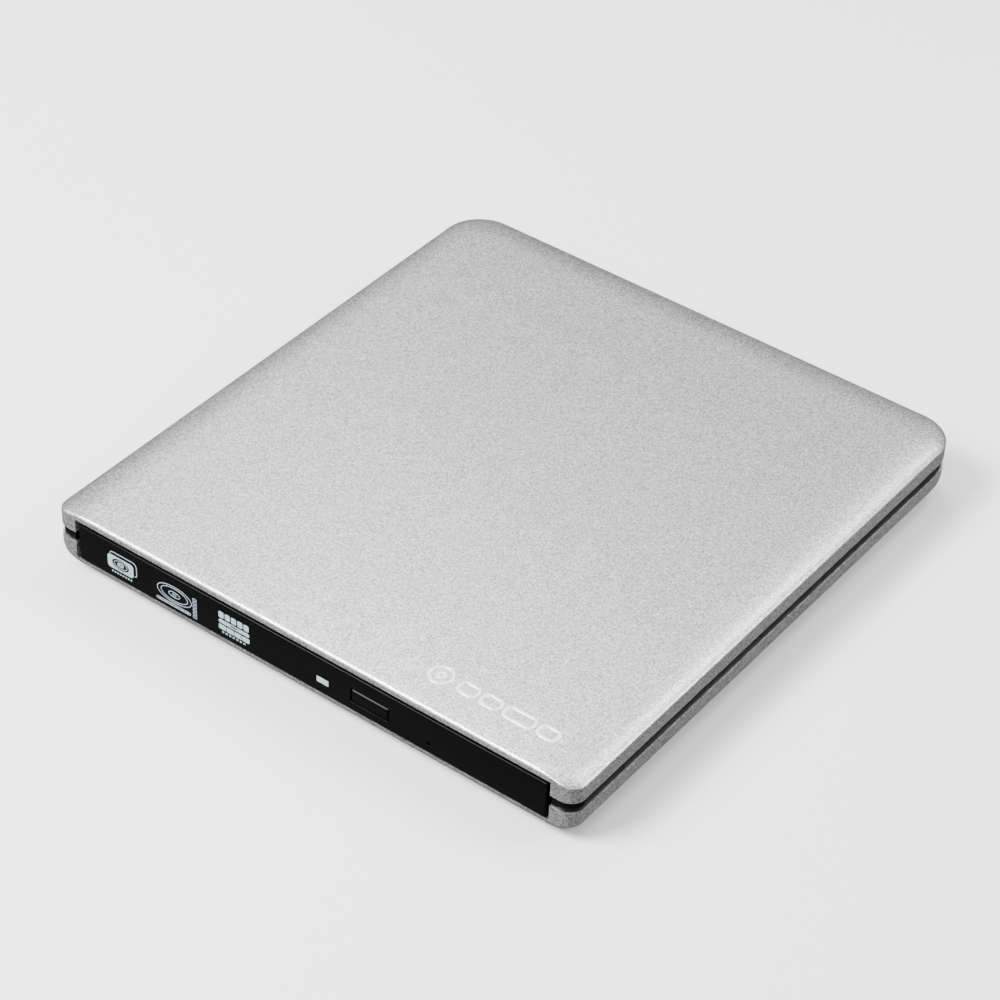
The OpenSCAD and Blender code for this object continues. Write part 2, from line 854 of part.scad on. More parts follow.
module spindle_rotor() {
  color("silver")
    translate([0, disc_y, 0]) {
      translate([0, 0, 7.8]) tube(11.4, 10.2, 2.8);
      translate([0, 0, 9.8]) cylinder(r = 11, h = 0.8);
      translate([0, 0, 7.3]) cylinder(r = 1, h = 3);
    }
}

module jaw_places() {
  for (i = [0 : 2]) rotate([0, 0, 90 + 120 * i]) children();
}

module turntable() {
  color("#303034")
    translate([0, disc_y, 0])
      difference() {
        union() {
          translate([0, 0, 10.6]) cylinder(r = turntable_r, h = 0.9);
          translate([0, 0, 11.5]) cylinder(r = hub_r, h = 1.1);
          translate([0, 0, 12.6]) cylinder(r1 = hub_r, r2 = hub_r - 0.7, h = 0.6, $fn = 64);
        }
        jaw_places() translate([4.3, -1.6, 11.9]) cube([5, 3.2, 1.1]);
      }
}

module turntable_pad() {
  color(black) translate([0, disc_y, 11.5]) tube(turntable_r - 0.3, turntable_r - 4, 0.4);
}

module clamp_jaw(i) {
  color("ivory")
    translate([0, disc_y, 0])
      rotate([0, 0, 90 + 120 * i])
        difference() {
          translate([5.1, -1.45, 12]) cube([2.7, 2.9, 0.85]);
          translate([7.9, -2, 12.85]) rotate([0, 45, 0]) translate([-0.3, 0, -0.3]) cube([0.6, 4, 0.6]);
        }
}

module clamp_jaw_1() {
  clamp_jaw(0);
}

module clamp_jaw_2() {
  clamp_jaw(1);
}

module clamp_jaw_3() {
  clamp_jaw(2);
}

module grommets() {
  color(black)
    mechanism()
      for (p = grommet_places)
        translate([p[0], p[1], skirt_low])
          difference() {
            union() {
              cylinder(r = 1.95, h = 0.95);
              translate([0, 0, 0.9]) cylinder(r = 3, h = 0.8);
            }
            translate([0, 0, -cut]) cylinder(r = 1.05, h = 3);
          }
}

module shoulder_screws() {
  color(steel)
    mechanism()
      for (p = grommet_places) translate([p[0], p[1], 5.55]) screw(2.2, 0.55, screw_r, 3.5);
}

module pickup_sled() {
  color("#8a8f94")
    mechanism()
      difference() {
        union() {
          translate([0, 0, 7.2])
            linear_extrude(2.8)
              polygon([
                [13.5, -19], [22, -19], [22, -14.2], [29, -9], [29, 9], [22, 14.2], [22, 19], [13.5, 19]
              ]);
          block([13.5, 18.9, 7.5], [16.5, screw_y - screw_r - 0.2, 9]);
        }
        translate([lens_x - 5, -8, 8.2]) cube([10, 16, 5]);
        bar_x(-rod_y, rod_z, 5, 65, rod_r + 0.05);
        bar_x(rod_y, rod_z, 5, 65, rod_r + 0.05);
      }
}

module lens_holder() {
  color(black)
    mechanism() {
      block([lens_x - 3, -3.6, 8.8], [lens_x + 3, 3.6, 10.5]);
      translate([lens_x, 0, 10.5]) cylinder(r = 2.3, h = 0.3);
    }
}

// ---------------------------------------------------------------- nodes

top_cover();
bottom_cover();
mid_frame();
rubber_feet();
case_screws();
bridge_board();
bridge_chip();
board_crystal();
board_capacitor();
board_screws();
usb_socket_shell();
usb_socket_tongue();
power_jack_body();
power_jack_pin();
slim_sata_socket();
drive_chassis();
drive_lid();
chassis_screws();
drive_screws();
guide_rail_left();
guide_rail_right();
slim_sata_plug();
connector_board();
latch_post();
flat_cable();
runner_left();
runner_right();
tray();
bezel();
status_window();
status_led();
front_board();
eject_switch();
main_board();
main_chip();
driver_chip();
cable_connector();
shroud_plate();
traverse_frame();
guide_rod_main();
guide_rod_side();
sled_motor();
spindle_base();
spindle_stator();
grommets();
shoulder_screws();
latch_solenoid();
kick_plunger();
kick_spring();
eject_button();
spindle_rotor();
turntable();
turntable_pad();
clamp_jaw_1();
clamp_jaw_2();
clamp_jaw_3();
pickup_sled();
lens_holder();
lead_screw();
latch_lever();
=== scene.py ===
import json
import math

import bmesh
import bpy
from mathutils import Matrix, Vector


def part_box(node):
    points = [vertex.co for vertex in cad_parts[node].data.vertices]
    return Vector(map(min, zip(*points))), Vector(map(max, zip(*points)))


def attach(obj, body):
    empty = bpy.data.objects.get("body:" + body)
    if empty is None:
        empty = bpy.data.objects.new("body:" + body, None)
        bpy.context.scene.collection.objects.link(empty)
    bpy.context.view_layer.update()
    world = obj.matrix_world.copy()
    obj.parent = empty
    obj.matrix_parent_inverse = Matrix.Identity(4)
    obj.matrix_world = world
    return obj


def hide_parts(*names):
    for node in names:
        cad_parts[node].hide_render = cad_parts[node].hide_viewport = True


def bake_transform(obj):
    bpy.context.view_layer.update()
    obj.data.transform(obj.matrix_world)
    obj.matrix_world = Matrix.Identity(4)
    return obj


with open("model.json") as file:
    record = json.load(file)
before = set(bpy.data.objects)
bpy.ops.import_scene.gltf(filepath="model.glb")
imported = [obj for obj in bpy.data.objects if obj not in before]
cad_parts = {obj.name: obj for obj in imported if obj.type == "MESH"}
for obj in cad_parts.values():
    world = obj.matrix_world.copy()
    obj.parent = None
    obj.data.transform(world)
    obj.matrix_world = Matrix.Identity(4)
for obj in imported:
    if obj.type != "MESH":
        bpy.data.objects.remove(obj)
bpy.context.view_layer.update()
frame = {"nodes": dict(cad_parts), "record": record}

MM = 0.001
NODES = frame["nodes"]

# ---------------------------------------------------------------- camera

CAMERA_PLACE = (0.3114, -0.4449, 0.4526)
CAMERA_AZ, CAMERA_EL, CAMERA_ROLL = 35.402, 39.434, 2.578
CAMERA_LENS = 111.41


def make_camera():
    """The camera looks along the given azimuth and elevation, rolled about its own axis."""
    az, el, roll = (math.radians(v) for v in (CAMERA_AZ, CAMERA_EL, CAMERA_ROLL))
    back = Vector((math.sin(az) * math.cos(el), -math.cos(az) * math.cos(el), math.sin(el)))
    right = Vector((math.cos(az), math.sin(az), 0))
    up = back.cross(right)
    right2 = math.cos(roll) * right + math.sin(roll) * up
    up2 = -math.sin(roll) * right + math.cos(roll) * up
    cam = bpy.data.objects.new("camera", bpy.data.cameras.new("camera"))
    cam.data.lens = CAMERA_LENS
    cam.data.sensor_width = 36
    cam.data.clip_start, cam.data.clip_end = 0.05, 20
    turn = Matrix((right2, up2, back)).transposed().to_4x4()
    cam.matrix_world = Matrix.Translation(CAMERA_PLACE) @ turn
    bpy.context.scene.collection.objects.link(cam)
    bpy.context.scene.camera = cam


make_camera()

# ---------------------------------------------------------------- node materials


class Nodes:
    """Short calls that build one procedural material; lengths in its textures are millimetres."""

    def __init__(self, name, **sockets):
        self.mat = bpy.data.materials.new(name)
        self.mat.use_nodes = True
        self.tree = self.mat.node_tree
        self.bsdf = next(n for n in self.tree.nodes if n.type == "BSDF_PRINCIPLED")
        self.height = None
        for key, value in sockets.items():
            self.bsdf.inputs[key.replace("_", " ")].default_value = value
        coords = self.tree.nodes.new("ShaderNodeTexCoord")
        scale = self.tree.nodes.new("ShaderNodeVectorMath")
        scale.operation = "SCALE"
        scale.inputs["Scale"].default_value = 1 / MM
        self.link(coords.outputs["Object"], scale.inputs[0])
        self.mm = scale.outputs[0]

    def link(self, a, b):
        self.tree.links.new(a, b)

    def stretched(self, factors):
        n = self.tree.nodes.new("ShaderNodeMapping")
        n.inputs["Scale"].default_value = factors
        self.link(self.mm, n.inputs["Vector"])
        return n.outputs[0]

    def noise(self, per_mm, detail=3.0, rough=0.5, at=None):
        n = self.tree.nodes.new("ShaderNodeTexNoise")
        n.inputs["Scale"].default_value = per_mm
        n.inputs["Detail"].default_value = detail
        n.inputs["Roughness"].default_value = rough
        self.link(at or self.mm, n.inputs["Vector"])
        return n.outputs[0]

    def cells(self, per_mm, output="Color"):
        n = self.tree.nodes.new("ShaderNodeTexVoronoi")
        n.inputs["Scale"].default_value = per_mm
        self.link(self.mm, n.inputs["Vector"])
        return n.outputs[output]

    def waves(self, per_mm, axis="X", distort=0.0):
        n = self.tree.nodes.new("ShaderNodeTexWave")
        n.bands_direction = axis
        n.inputs["Scale"].default_value = per_mm
        n.inputs["Distortion"].default_value = distort
        self.link(self.mm, n.inputs["Vector"])
        return n.outputs["Fac"]

    def ramp(self, fac, *stops):
        n = self.tree.nodes.new("ShaderNodeValToRGB")
        while len(n.color_ramp.elements) < len(stops):
            n.color_ramp.elements.new(0.5)
        for e, (at, value) in zip(n.color_ramp.elements, stops):
            e.position = at
            e.color = (*value, 1) if isinstance(value, tuple) else (value, value, value, 1)
        self.link(fac, n.inputs["Fac"])
        return n.outputs["Color"]

    def span(self, fac, lo, hi, from_lo=0.0, from_hi=1.0):
        n = self.tree.nodes.new("ShaderNodeMapRange")
        for key, v in (("From Min", from_lo), ("From Max", from_hi), ("To Min", lo), ("To Max", hi)):
            n.inputs[key].default_value = v
        self.link(fac, n.inputs["Value"])
        return n.outputs["Result"]

    def math(self, op, a, b):
        n = self.tree.nodes.new("ShaderNodeMath")
        n.operation = op
        for i, v in enumerate((a, b)):
            if isinstance(v, (int, float)):
                n.inputs[i].default_value = v
            else:
                self.link(v, n.inputs[i])
        return n.outputs[0]

    def mix(self, fac, a, b):
        n = self.tree.nodes.new("ShaderNodeMix")
        n.data_type = "RGBA"
        for key, v in (("Factor", fac), ("A", a), ("B", b)):
            socket = [s for s in n.inputs if s.name == key and s.enabled][0]
            if isinstance(v, (int, float)):
                socket.default_value = v
            elif isinstance(v, tuple):
                socket.default_value = (*v, 1)
            else:
                self.link(v, socket)
        return [s for s in n.outputs if s.enabled][0]

    def colour(self, out):
        self.link(out, self.bsdf.inputs["Base Color"])

    def roughness(self, out):
        self.link(out, self.bsdf.inputs["Roughness"])

    def metallic(self, out):
        self.link(out, self.bsdf.inputs["Metallic"])

    def bump(self, height, depth_mm):
        n = self.tree.nodes.new("ShaderNodeBump")
        n.inputs["Distance"].default_value = depth_mm * MM
        n.inputs["Strength"].default_value = 1.0
        self.link(height, n.inputs["Height"])
        if self.height is not None:
            self.link(self.height, n.inputs["Normal"])
        self.height = n.outputs["Normal"]
        self.link(self.height, self.bsdf.inputs["Normal"])


def grey(v):
    return (v, v, v)


def tint(colour, factor):
    return tuple(min(1.0, c * factor) for c in colour)


def silver_paint():
    """Metallic paint: aluminium flakes of about a quarter millimetre, some bright and some dark."""
    m = Nodes("silver_shell", Metallic=0.87, Roughness=0.33)
    flake = m.cells(4.6)
    small = m.cells(9.0)
    grain = m.noise(2.2, 2)
    cloud = m.noise(0.02, 3)
    speck = m.math("ADD", m.math("MULTIPLY", flake, 0.62), m.math("MULTIPLY", small, 0.38))
    dark, middle, bright = (0.14, 0.14, 0.142), (0.5, 0.5, 0.503), (0.98, 0.98, 0.985)
    base = m.ramp(speck, (0.22, dark), (0.5, middle), (0.78, bright))
    m.colour(m.mix(0.1, base, m.ramp(cloud, (0.3, grey(0.53)), (0.7, grey(0.56)))))
    m.roughness(m.span(grain, 0.29, 0.37))
    m.bump(speck, 0.028)
    m.bump(m.noise(0.7, 2), 0.006)
    return m.mat


def raised_highlight_paint():
    """The same flake paint coloured much brighter, as a painted highlight over the whole raised mark."""
    m = Nodes("raised_mark_painted_highlight", Metallic=0.7, Roughness=0.4)
    flake = m.cells(4.6)
    m.colour(m.ramp(flake, (0.2, grey(0.86)), (0.8, grey(0.98))))
    m.roughness(m.span(m.noise(2.2, 2), 0.34, 0.46))
    m.bump(flake, 0.006)
    return m.mat


def moulded(name, colour, rough, grain_mm=3.0, depth=0.006, spec=0.5, coat=0.0):
    """Moulded plastic with a fine spark-eroded grain and a faint sheen change."""
    m = Nodes(name, Roughness=rough, Specular_IOR_Level=spec, Coat_Weight=coat)
    cloud = m.noise(0.05, 4)
    grain = m.noise(grain_mm, 4, 0.65)
    m.colour(m.ramp(cloud, (0.25, tint(colour, 0.86)), (0.75, tint(colour, 1.14))))
    m.roughness(m.math("ADD", m.span(cloud, rough - 0.05, rough + 0.03), m.span(grain, -0.03, 0.03)))
    m.bump(grain, depth)
    return m.mat


def brushed(name, colour, rough, along="Y", depth=0.004):
    """Rolled sheet or drawn metal with lines along one direction and small stains."""
    m = Nodes(name, Metallic=1.0, Roughness=rough)
    fine = {"X": (0.06, 5, 5), "Y": (5, 0.06, 5), "Z": (5, 5, 0.06)}[along]
    lines = m.noise(1.0, 3, 0.6, m.stretched(fine))
    stain = m.noise(0.12, 5, 0.6)
    base = m.ramp(lines, (0.3, tint(colour, 0.88)), (0.7, tint(colour, 1.08)))
    m.colour(m.mix(m.span(stain, 0.0, 0.28, 0.45, 0.8), base, tint(colour, 0.72)))
    m.roughness(m.math("ADD", m.span(lines, rough - 0.06, rough + 0.06), m.span(stain, -0.04, 0.05)))
    m.bump(lines, depth)
    return m.mat


def spangled(name, colour, rough):
    """Zinc coated sheet with faint crystals."""
    m = Nodes(name, Metallic=1.0, Roughness=rough)
    warped = m.noise(0.35, 3)
    crystals = m.cells(0.45)
    lines = m.noise(1.0, 3, 0.6, m.stretched((4, 0.08, 4)))
    base = m.ramp(crystals, (0.1, tint(colour, 0.84)), (0.9, tint(colour, 1.1)))
    m.colour(m.mix(0.3, base, m.ramp(lines, (0.3, tint(colour, 0.85)), (0.7, tint(colour, 1.05)))))
    m.roughness(m.math("ADD", m.span(crystals, rough - 0.08, rough + 0.06), m.span(warped, -0.03, 0.04)))
    m.bump(lines, 0.003)
    return m.mat


def cast(name, colour, rough=0.5):
    """Die-cast metal: pebbled skin, darker in the hollows."""
    m = Nodes(name, Metallic=0.9, Roughness=rough)
    pebbles = m.noise(2.6, 5, 0.7)
    flow = m.noise(0.18, 3)
    base = m.ramp(pebbles, (0.3, tint(colour, 0.78)), (0.65, tint(colour, 1.1)))
    m.colour(m.mix(m.span(flow, 0.0, 0.35, 0.4, 0.8), base, tint(colour, 0.8)))
    m.roughness(m.span(pebbles, rough - 0.1, rough + 0.12))
    m.bump(pebbles, 0.03)
    return m.mat


def solder_mask(name, colour):
    """Green board: copper tracks under the mask, vias and tinned pads."""
    m = Nodes(name, Roughness=0.32, Coat_Weight=0.4, Coat_Roughness=0.2)
    x = m.waves(0.9, "X")
    y = m.waves(0.9, "Y")
    area = m.cells(0.14)
    which = m.math("GREATER_THAN", area, 0.5)
    other = m.math("SUBTRACT", 1.0, which)
    tracks = m.math("ADD", m.math("MULTIPLY", x, which), m.math("MULTIPLY", y, other))
    on_track = m.span(tracks, 0.0, 1.0, 0.45, 0.6)
    via = m.span(m.cells(0.42, "Distance"), 1.0, 0.0, 0.16, 0.2)
    green = m.mix(on_track, tint(colour, 0.75), tint(colour, 1.6))
    m.colour(m.mix(via, green, (0.62, 0.6, 0.55)))
    m.metallic(m.math("MULTIPLY", via, 0.9))
    m.roughness(m.span(m.noise(0.8, 3), 0.26, 0.4))
    m.bump(tracks, 0.02)
    return m.mat


def rubber(name, colour):
    """Matt rubber with pores and pale dust."""
    m = Nodes(name, Roughness=0.82, Specular_IOR_Level=0.35)
    pores = m.cells(2.2, "Distance")
    dust = m.noise(0.25, 5, 0.7)
    m.colour(m.mix(m.span(dust, 0.0, 0.35, 0.5, 0.8), colour, (0.12, 0.118, 0.112)))
    m.roughness(m.span(dust, 0.74, 0.92))
    m.bump(pores, 0.02)
    return m.mat


def wound(name, colour):
    """Enamelled wire laid side by side, with painted shade between the turns and a painted highlight on each
    crest.
    """
    m = Nodes(name, Metallic=0.85, Roughness=0.3, Coat_Weight=0.5, Coat_Roughness=0.12)
    turns = m.waves(1.6, "Z", distort=0.15)
    # The colour follows the turns' bump: darker in the grooves (painted shade), brighter on the crests
    # (painted highlight).
    m.colour(m.ramp(turns, (0.1, tint(colour, 0.45)), (0.6, colour), (0.95, tint(colour, 1.35))))
    m.roughness(m.span(m.noise(1.2, 3), 0.22, 0.4))
    m.bump(turns, 0.06)
    return m.mat


def ribbon(name, colour):
    """Flat cable: printed film with the conductors showing as fine lines."""
    m = Nodes(name, Roughness=0.35, Specular_IOR_Level=0.5)
    wires = m.waves(0.62, "X")
    line = m.span(wires, 0.0, 1.0, 0.35, 0.6)
    m.colour(m.mix(line, tint(colour, 0.78), colour))
    m.roughness(m.span(m.noise(0.6, 3), 0.28, 0.42))
    m.bump(wires, 0.02)
    return m.mat


def glass(name, colour, rough=0.08, through=0.6):
    """Clear or smoky moulding under a thin glossy coat."""
    m = Nodes(name, Roughness=rough, Transmission_Weight=through, IOR=1.5, Coat_Weight=0.6,
              Coat_Roughness=0.05)
    cloud = m.noise(0.8, 3)
    m.colour(m.ramp(cloud, (0.2, tint(colour, 0.9)), (0.8, tint(colour, 1.08))))
    m.roughness(m.span(cloud, rough, rough + 0.05))
    m.bump(m.noise(0.4, 2), 0.003)
    return m.mat


def printed(name, colour):
    """Screen-printed ink: slightly broken film."""
    m = Nodes(name, Roughness=0.5)
    film = m.noise(4.0, 3, 0.6)
    m.colour(m.ramp(film, (0.25, tint(colour, 0.8)), (0.55, colour)))
    m.roughness(m.span(film, 0.42, 0.6))
    m.bump(film, 0.004)
    return m.mat


MATERIALS = {
    "silver_shell": silver_paint(),
    "black_frame": moulded("black_frame", (0.002, 0.002, 0.0021), 0.34, 2.5, 0.005, 0.12),
    "rubber": rubber("rubber", (0.02, 0.02, 0.021)),
    "zinc_screw": brushed("zinc_screw", (0.62, 0.63, 0.65), 0.3, "Z"),
    "black_screw": brushed("black_screw", (0.07, 0.07, 0.075), 0.35, "Z"),
    "board": solder_mask("board", (0.02, 0.13, 0.06)),
    "chip_black": moulded("chip_black", (0.022, 0.022, 0.024), 0.55, 5.0, 0.012),
    "can_metal": brushed("can_metal", (0.7, 0.7, 0.72), 0.24, "Z"),
    "connector_steel": brushed("connector_steel", (0.66, 0.66, 0.67), 0.28, "Y"),
    "connector_black": moulded("connector_black", (0.018, 0.018, 0.02), 0.5, 4.0, 0.008),
    "connector_ivory": moulded("connector_ivory", (0.66, 0.61, 0.48), 0.45, 3.0, 0.006),
    "sheet_steel": spangled("sheet_steel", (0.58, 0.59, 0.6), 0.36),
    "rail_acetal": moulded("rail_acetal", (0.6, 0.58, 0.52), 0.4, 2.0, 0.006),
    "runner_steel": brushed("runner_steel", (0.66, 0.67, 0.68), 0.26, "Y"),
    "ribbon": ribbon("ribbon", (0.74, 0.77, 0.8)),
    "tray_black": moulded("tray_black", (0.010, 0.010, 0.011), 0.46, 2.6, 0.018, 0.3),
    "bezel_black": moulded("bezel_black", (0.0014, 0.0014, 0.0015), 0.3, 3.0, 0.003, 0.14),
    "window_grey": glass("window_grey", (0.36, 0.43, 0.48), 0.3, 0.1),
    "led_lens": glass("led_lens", (0.85, 0.86, 0.8), 0.1, 0.5),
    "shroud_grey": moulded("shroud_grey", (0.024, 0.024, 0.027), 0.42, 4.0, 0.012, 0.4),
    "frame_zinc": cast("frame_zinc", (0.42, 0.42, 0.44)),
    "rod_steel": brushed("rod_steel", (0.74, 0.75, 0.77), 0.14, "Z"),
    "motor_can": brushed("motor_can", (0.62, 0.62, 0.64), 0.27, "Z"),
    "copper": wound("copper", (0.5, 0.2, 0.075)),
    "turntable_black": moulded("turntable_black", (0.016, 0.016, 0.018), 0.4, 3.0, 0.01, 0.4),
    "jaw_white": moulded("jaw_white", (0.62, 0.6, 0.55), 0.38, 3.0, 0.005),
    "sled_cast": cast("sled_cast", (0.34, 0.35, 0.37), 0.48),
    "lens_black": moulded("lens_black", (0.02, 0.02, 0.024), 0.35, 4.0, 0.006),
    "brass": brushed("brass", (0.58, 0.45, 0.22), 0.25, "X"),
}
INK = printed("ink_pale", (0.30, 0.385, 0.44))
# Brighter copy of the silver paint: a painted highlight for the raised mark
RAISED_HIGHLIGHT = raised_highlight_paint()
SOLDER = brushed("solder_tin", (0.6, 0.6, 0.6), 0.3, "Z")
CERAMIC = moulded("ceramic_tan", (0.36, 0.24, 0.13), 0.45, 5.0, 0.008)
LENS_GLASS = glass("lens_glass", (0.45, 0.5, 0.75), 0.03, 0.85)

# ---------------------------------------------------------------- meshes


def finish_mesh(name, bm, material, sharp=35):
    """Makes an object of bm, shaded smooth except across edges sharper than the given angle."""
    mesh = bpy.data.meshes.new(name)
    bmesh.ops.recalc_face_normals(bm, faces=bm.faces)
    bm.to_mesh(mesh)
    bm.free()
    mesh.materials.append(material)
    for p in mesh.polygons:
        p.use_smooth = True
    mesh.set_sharp_from_angle(angle=math.radians(sharp))
    obj = bpy.data.objects.new(name, mesh)
    bpy.context.scene.collection.objects.link(obj)
    return obj


def metres(points):
    return [tuple(v * MM for v in p) for p in points]


def around(steps):
    """Angles of a whole turn."""
    return [2 * math.pi * k / steps for k in range(steps)]


def rounded(corners, steps):
    """Points along quarter circles, each given as (centre, centre, radius, first angle in degrees)."""
    pts = []
    for cx, cy, r, first in corners:
        for i in range(steps + 1):
            t = math.radians(first + 90 * i / steps)
            pts.append((cx + r * math.cos(t), cy + r * math.sin(t)))
    return pts


def outline(x, y1, y2, rf, rb, steps):
    """Rounded plan between y1 in front and y2 at the back, counterclockwise, in millimetres."""
    front, back = y1 + rf, y2 - rb
    return rounded([(x - rb, back, rb, 0), (rb - x, back, rb, 90),
                    (rf - x, front, rf, 180), (x - rf, front, rf, 270)], steps)


def round_rect(x1, x2, y1, y2, r, steps=5):
    """Rounded rectangle, counterclockwise."""
    return rounded([(x2 - r, y2 - r, r, 0), (x1 + r, y2 - r, r, 90),
                    (x1 + r, y1 + r, r, 180), (x2 - r, y1 + r, r, 270)], steps)


def ellipse(cx, cy, rx, ry, steps=32):
    return [(cx + rx * math.cos(t), cy + ry * math.sin(t)) for t in around(steps)]


def bridge(bm, rings):
    """Faces between each ring of vertices and the next."""
    n = len(rings[0])
    for a, b in zip(rings, rings[1:]):
        for i in range(n):
            bm.faces.new((a[i], a[(i + 1) % n], b[(i + 1) % n], b[i]))


def add_rings(bm, rings):
    """Closed solid through rings of points given in metres."""
    verts = [[bm.verts.new(p) for p in ring] for ring in rings]
    bridge(bm, verts)
    bm.faces.new(list(reversed(verts[0])))
    bm.faces.new(verts[-1])


def add_loft(bm, levels):
    """Closed solid through levels of (outline, z), in millimetres."""
    add_rings(bm, [metres((x, y, z) for x, y in pts) for pts, z in levels])


def add_block(bm, lo, hi):
    (x1, y1, z1), (x2, y2, z2) = lo, hi
    pts = [(x1, y1), (x2, y1), (x2, y2), (x1, y2)]
    add_loft(bm, [(pts, z1), (pts, z2)])


def add_disc(bm, x, y, z1, z2, r, steps=32):
    pts = ellipse(x, y, r, r, steps)
    add_loft(bm, [(pts, z1), (pts, z2)])


def cut_with(obj, build, operation="DIFFERENCE"):
    """Joins or cuts obj with the solids that build(bm) makes, each a closed one."""
    bm = bmesh.new()
    build(bm)
    tool = finish_mesh("tool", bm, obj.data.materials[0])
    mod = obj.modifiers.new("cut", "BOOLEAN")
    mod.operation, mod.solver, mod.use_self, mod.object = operation, "EXACT", True, tool
    made = bpy.data.meshes.new_from_object(obj.evaluated_get(bpy.context.evaluated_depsgraph_get()))
    obj.modifiers.clear()
    old, obj.data = obj.data, made
    bpy.data.objects.remove(tool)
    bpy.data.meshes.remove(old)


def soft_edges(obj, width, angle=40):
    """Small rounded edges, with the flats kept flat in shading."""
    mod = obj.modifiers.new("edge", "BEVEL")
    mod.width, mod.segments, mod.limit_method = width * MM, 2, "ANGLE"
    mod.angle_limit = math.radians(angle)
    mod.harden_normals = True
    mod.use_clamp_overlap = True


def place(obj, body, slot_name, *nodes):
    """Puts obj on its body and in the place of the named nodes, which it hides; slot_name is not used."""
    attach(obj, body)
    if nodes:
        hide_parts(*nodes)
    return obj


# ---------------------------------------------------------------- shells

CASE_X, CASE_Y = 71.0, 76.0
FRONT_R, BACK_R = 3.8, 10.0
CORNER_STEPS = 20
TOP_Z, SIDE_CREASE, ROLL_W, ROLL_DROP, FRONT_EDGE_R = 16.9, 14.9, 10.0, 2.0, 1.25
BASE_Z, BELLY_Z, BELLY_W, CHIN_R = 0.8, 6.6, 6.0, 4.2
SPLIT_LOW, SPLIT_HIGH = 8.6, 11.3
WALL, FLOOR_Z, CEILING_Z = 1.5, 2.4, 15.2
OPEN_X, OPEN_LOW, OPEN_HIGH = 64.8, 4.3, 15.05
PORT_X, PORT_LOW, PORT_HIGH = 28.15, 6.75, 12.25
SCREW_PLACES = [(65.7, -62), (-65.7, -62), (60, 68), (-60, 68)]
FOOT_PLACES = [(56, -60), (-56, -60), (54, 60), (-54, 60)]
BOSS_R, PILOT_R, PILOT_DEPTH = 2.3, 1.02, 2.7
THROUGH_R, HEAD_R, HEAD_TOP = 1.1, 1.8, 3.6
FOOT_R, FOOT_TOP = 5.1, 1.4
# Standoffs of the bridge board and ribs below the drive
STANDOFF_PLACES, STANDOFF_R, STANDOFF_TOP = [(34, 64), (-34, 64)], 2.2, 6.5
STANDOFF_BORE_R, STANDOFF_BORE_TOP = 0.82, 7.4
RIB_PLACES, RIB_TOP = [(x, y) for x in (-46, 46) for y in (-50, 0, 42)], 4.55
CEILING_RIBS, CEILING_RIB_Z = (-40, 0, 40), 14.2
# How far a tool reaches into or past what it joins or cuts
BITE, PAST = 0.2, 1.0
ROLL_STEPS = 26
SHELL_EDGE = 0.12
# How far the mark on the top face stands out of it
EMBOSS = 0.1


def level(z, side, front, back, rf, rb):
    return outline(CASE_X - side, -CASE_Y + front, CASE_Y - back, rf, rb, CORNER_STEPS), z


def round_inset(depth, radius):
    """How far a rounded edge has drawn in at a depth past the start of its curve."""
    return radius - math.sqrt(max(0, radius**2 - max(0, depth) ** 2))


def top_shell():
    """Lid whose sides and back roll over in a quarter ellipse, with a small radius in front."""
    bm = bmesh.new()
    levels = [level(SPLIT_HIGH, SHELL_EDGE, SHELL_EDGE, SHELL_EDGE, FRONT_R, BACK_R),
              level(SPLIT_HIGH + SHELL_EDGE, 0, 0, 0, FRONT_R, BACK_R)]
    for i in range(ROLL_STEPS + 1):
        a = math.radians(90 * i / ROLL_STEPS)
        z, s = SIDE_CREASE + ROLL_DROP * math.sin(a), ROLL_W * (1 - math.cos(a))
        front = round_inset(z - (TOP_Z - FRONT_EDGE_R), FRONT_EDGE_R)
        lowered = z - EMBOSS * (z - SIDE_CREASE) / ROLL_DROP
        levels.append(level(lowered, s, front, s, FRONT_R, BACK_R - 0.35 * s))
    add_loft(bm, levels)
    obj = finish_mesh("top_shell", bm, MATERIALS["silver_shell"], 50)

    def holes(bm):
        hollow = outline(CASE_X - WALL, -CASE_Y + WALL, CASE_Y - WALL, FRONT_R - WALL, BACK_R - WALL,
                         CORNER_STEPS)
        low = SPLIT_HIGH - PAST
        add_loft(bm, [(hollow, low), (hollow, CEILING_Z)])
        add_block(bm, (-OPEN_X, -CASE_Y - PAST, low), (OPEN_X, -CASE_Y + WALL + 0.5, OPEN_HIGH))
        add_block(bm, (-PORT_X, CASE_Y - 2 * WALL, low), (PORT_X, CASE_Y + PAST, PORT_HIGH))

    def inside(bm):
        for x, y in SCREW_PLACES:
            add_disc(bm, x, y, SPLIT_HIGH, CEILING_Z + BITE, BOSS_R)
        for x in CEILING_RIBS:
            add_block(bm, (x - 0.6, -60, CEILING_RIB_Z), (x + 0.6, 45, CEILING_Z + BITE))

    def bores(bm):
        for x, y in SCREW_PLACES:
            add_disc(bm, x, y, SPLIT_HIGH - PAST, SPLIT_HIGH + PILOT_DEPTH, PILOT_R, 24)

    cut_with(obj, holes)
    cut_with(obj, inside, "UNION")
    cut_with(obj, bores)
    soft_edges(obj, SHELL_EDGE)
    return place(obj, "case", "silver_shell", "top_cover")


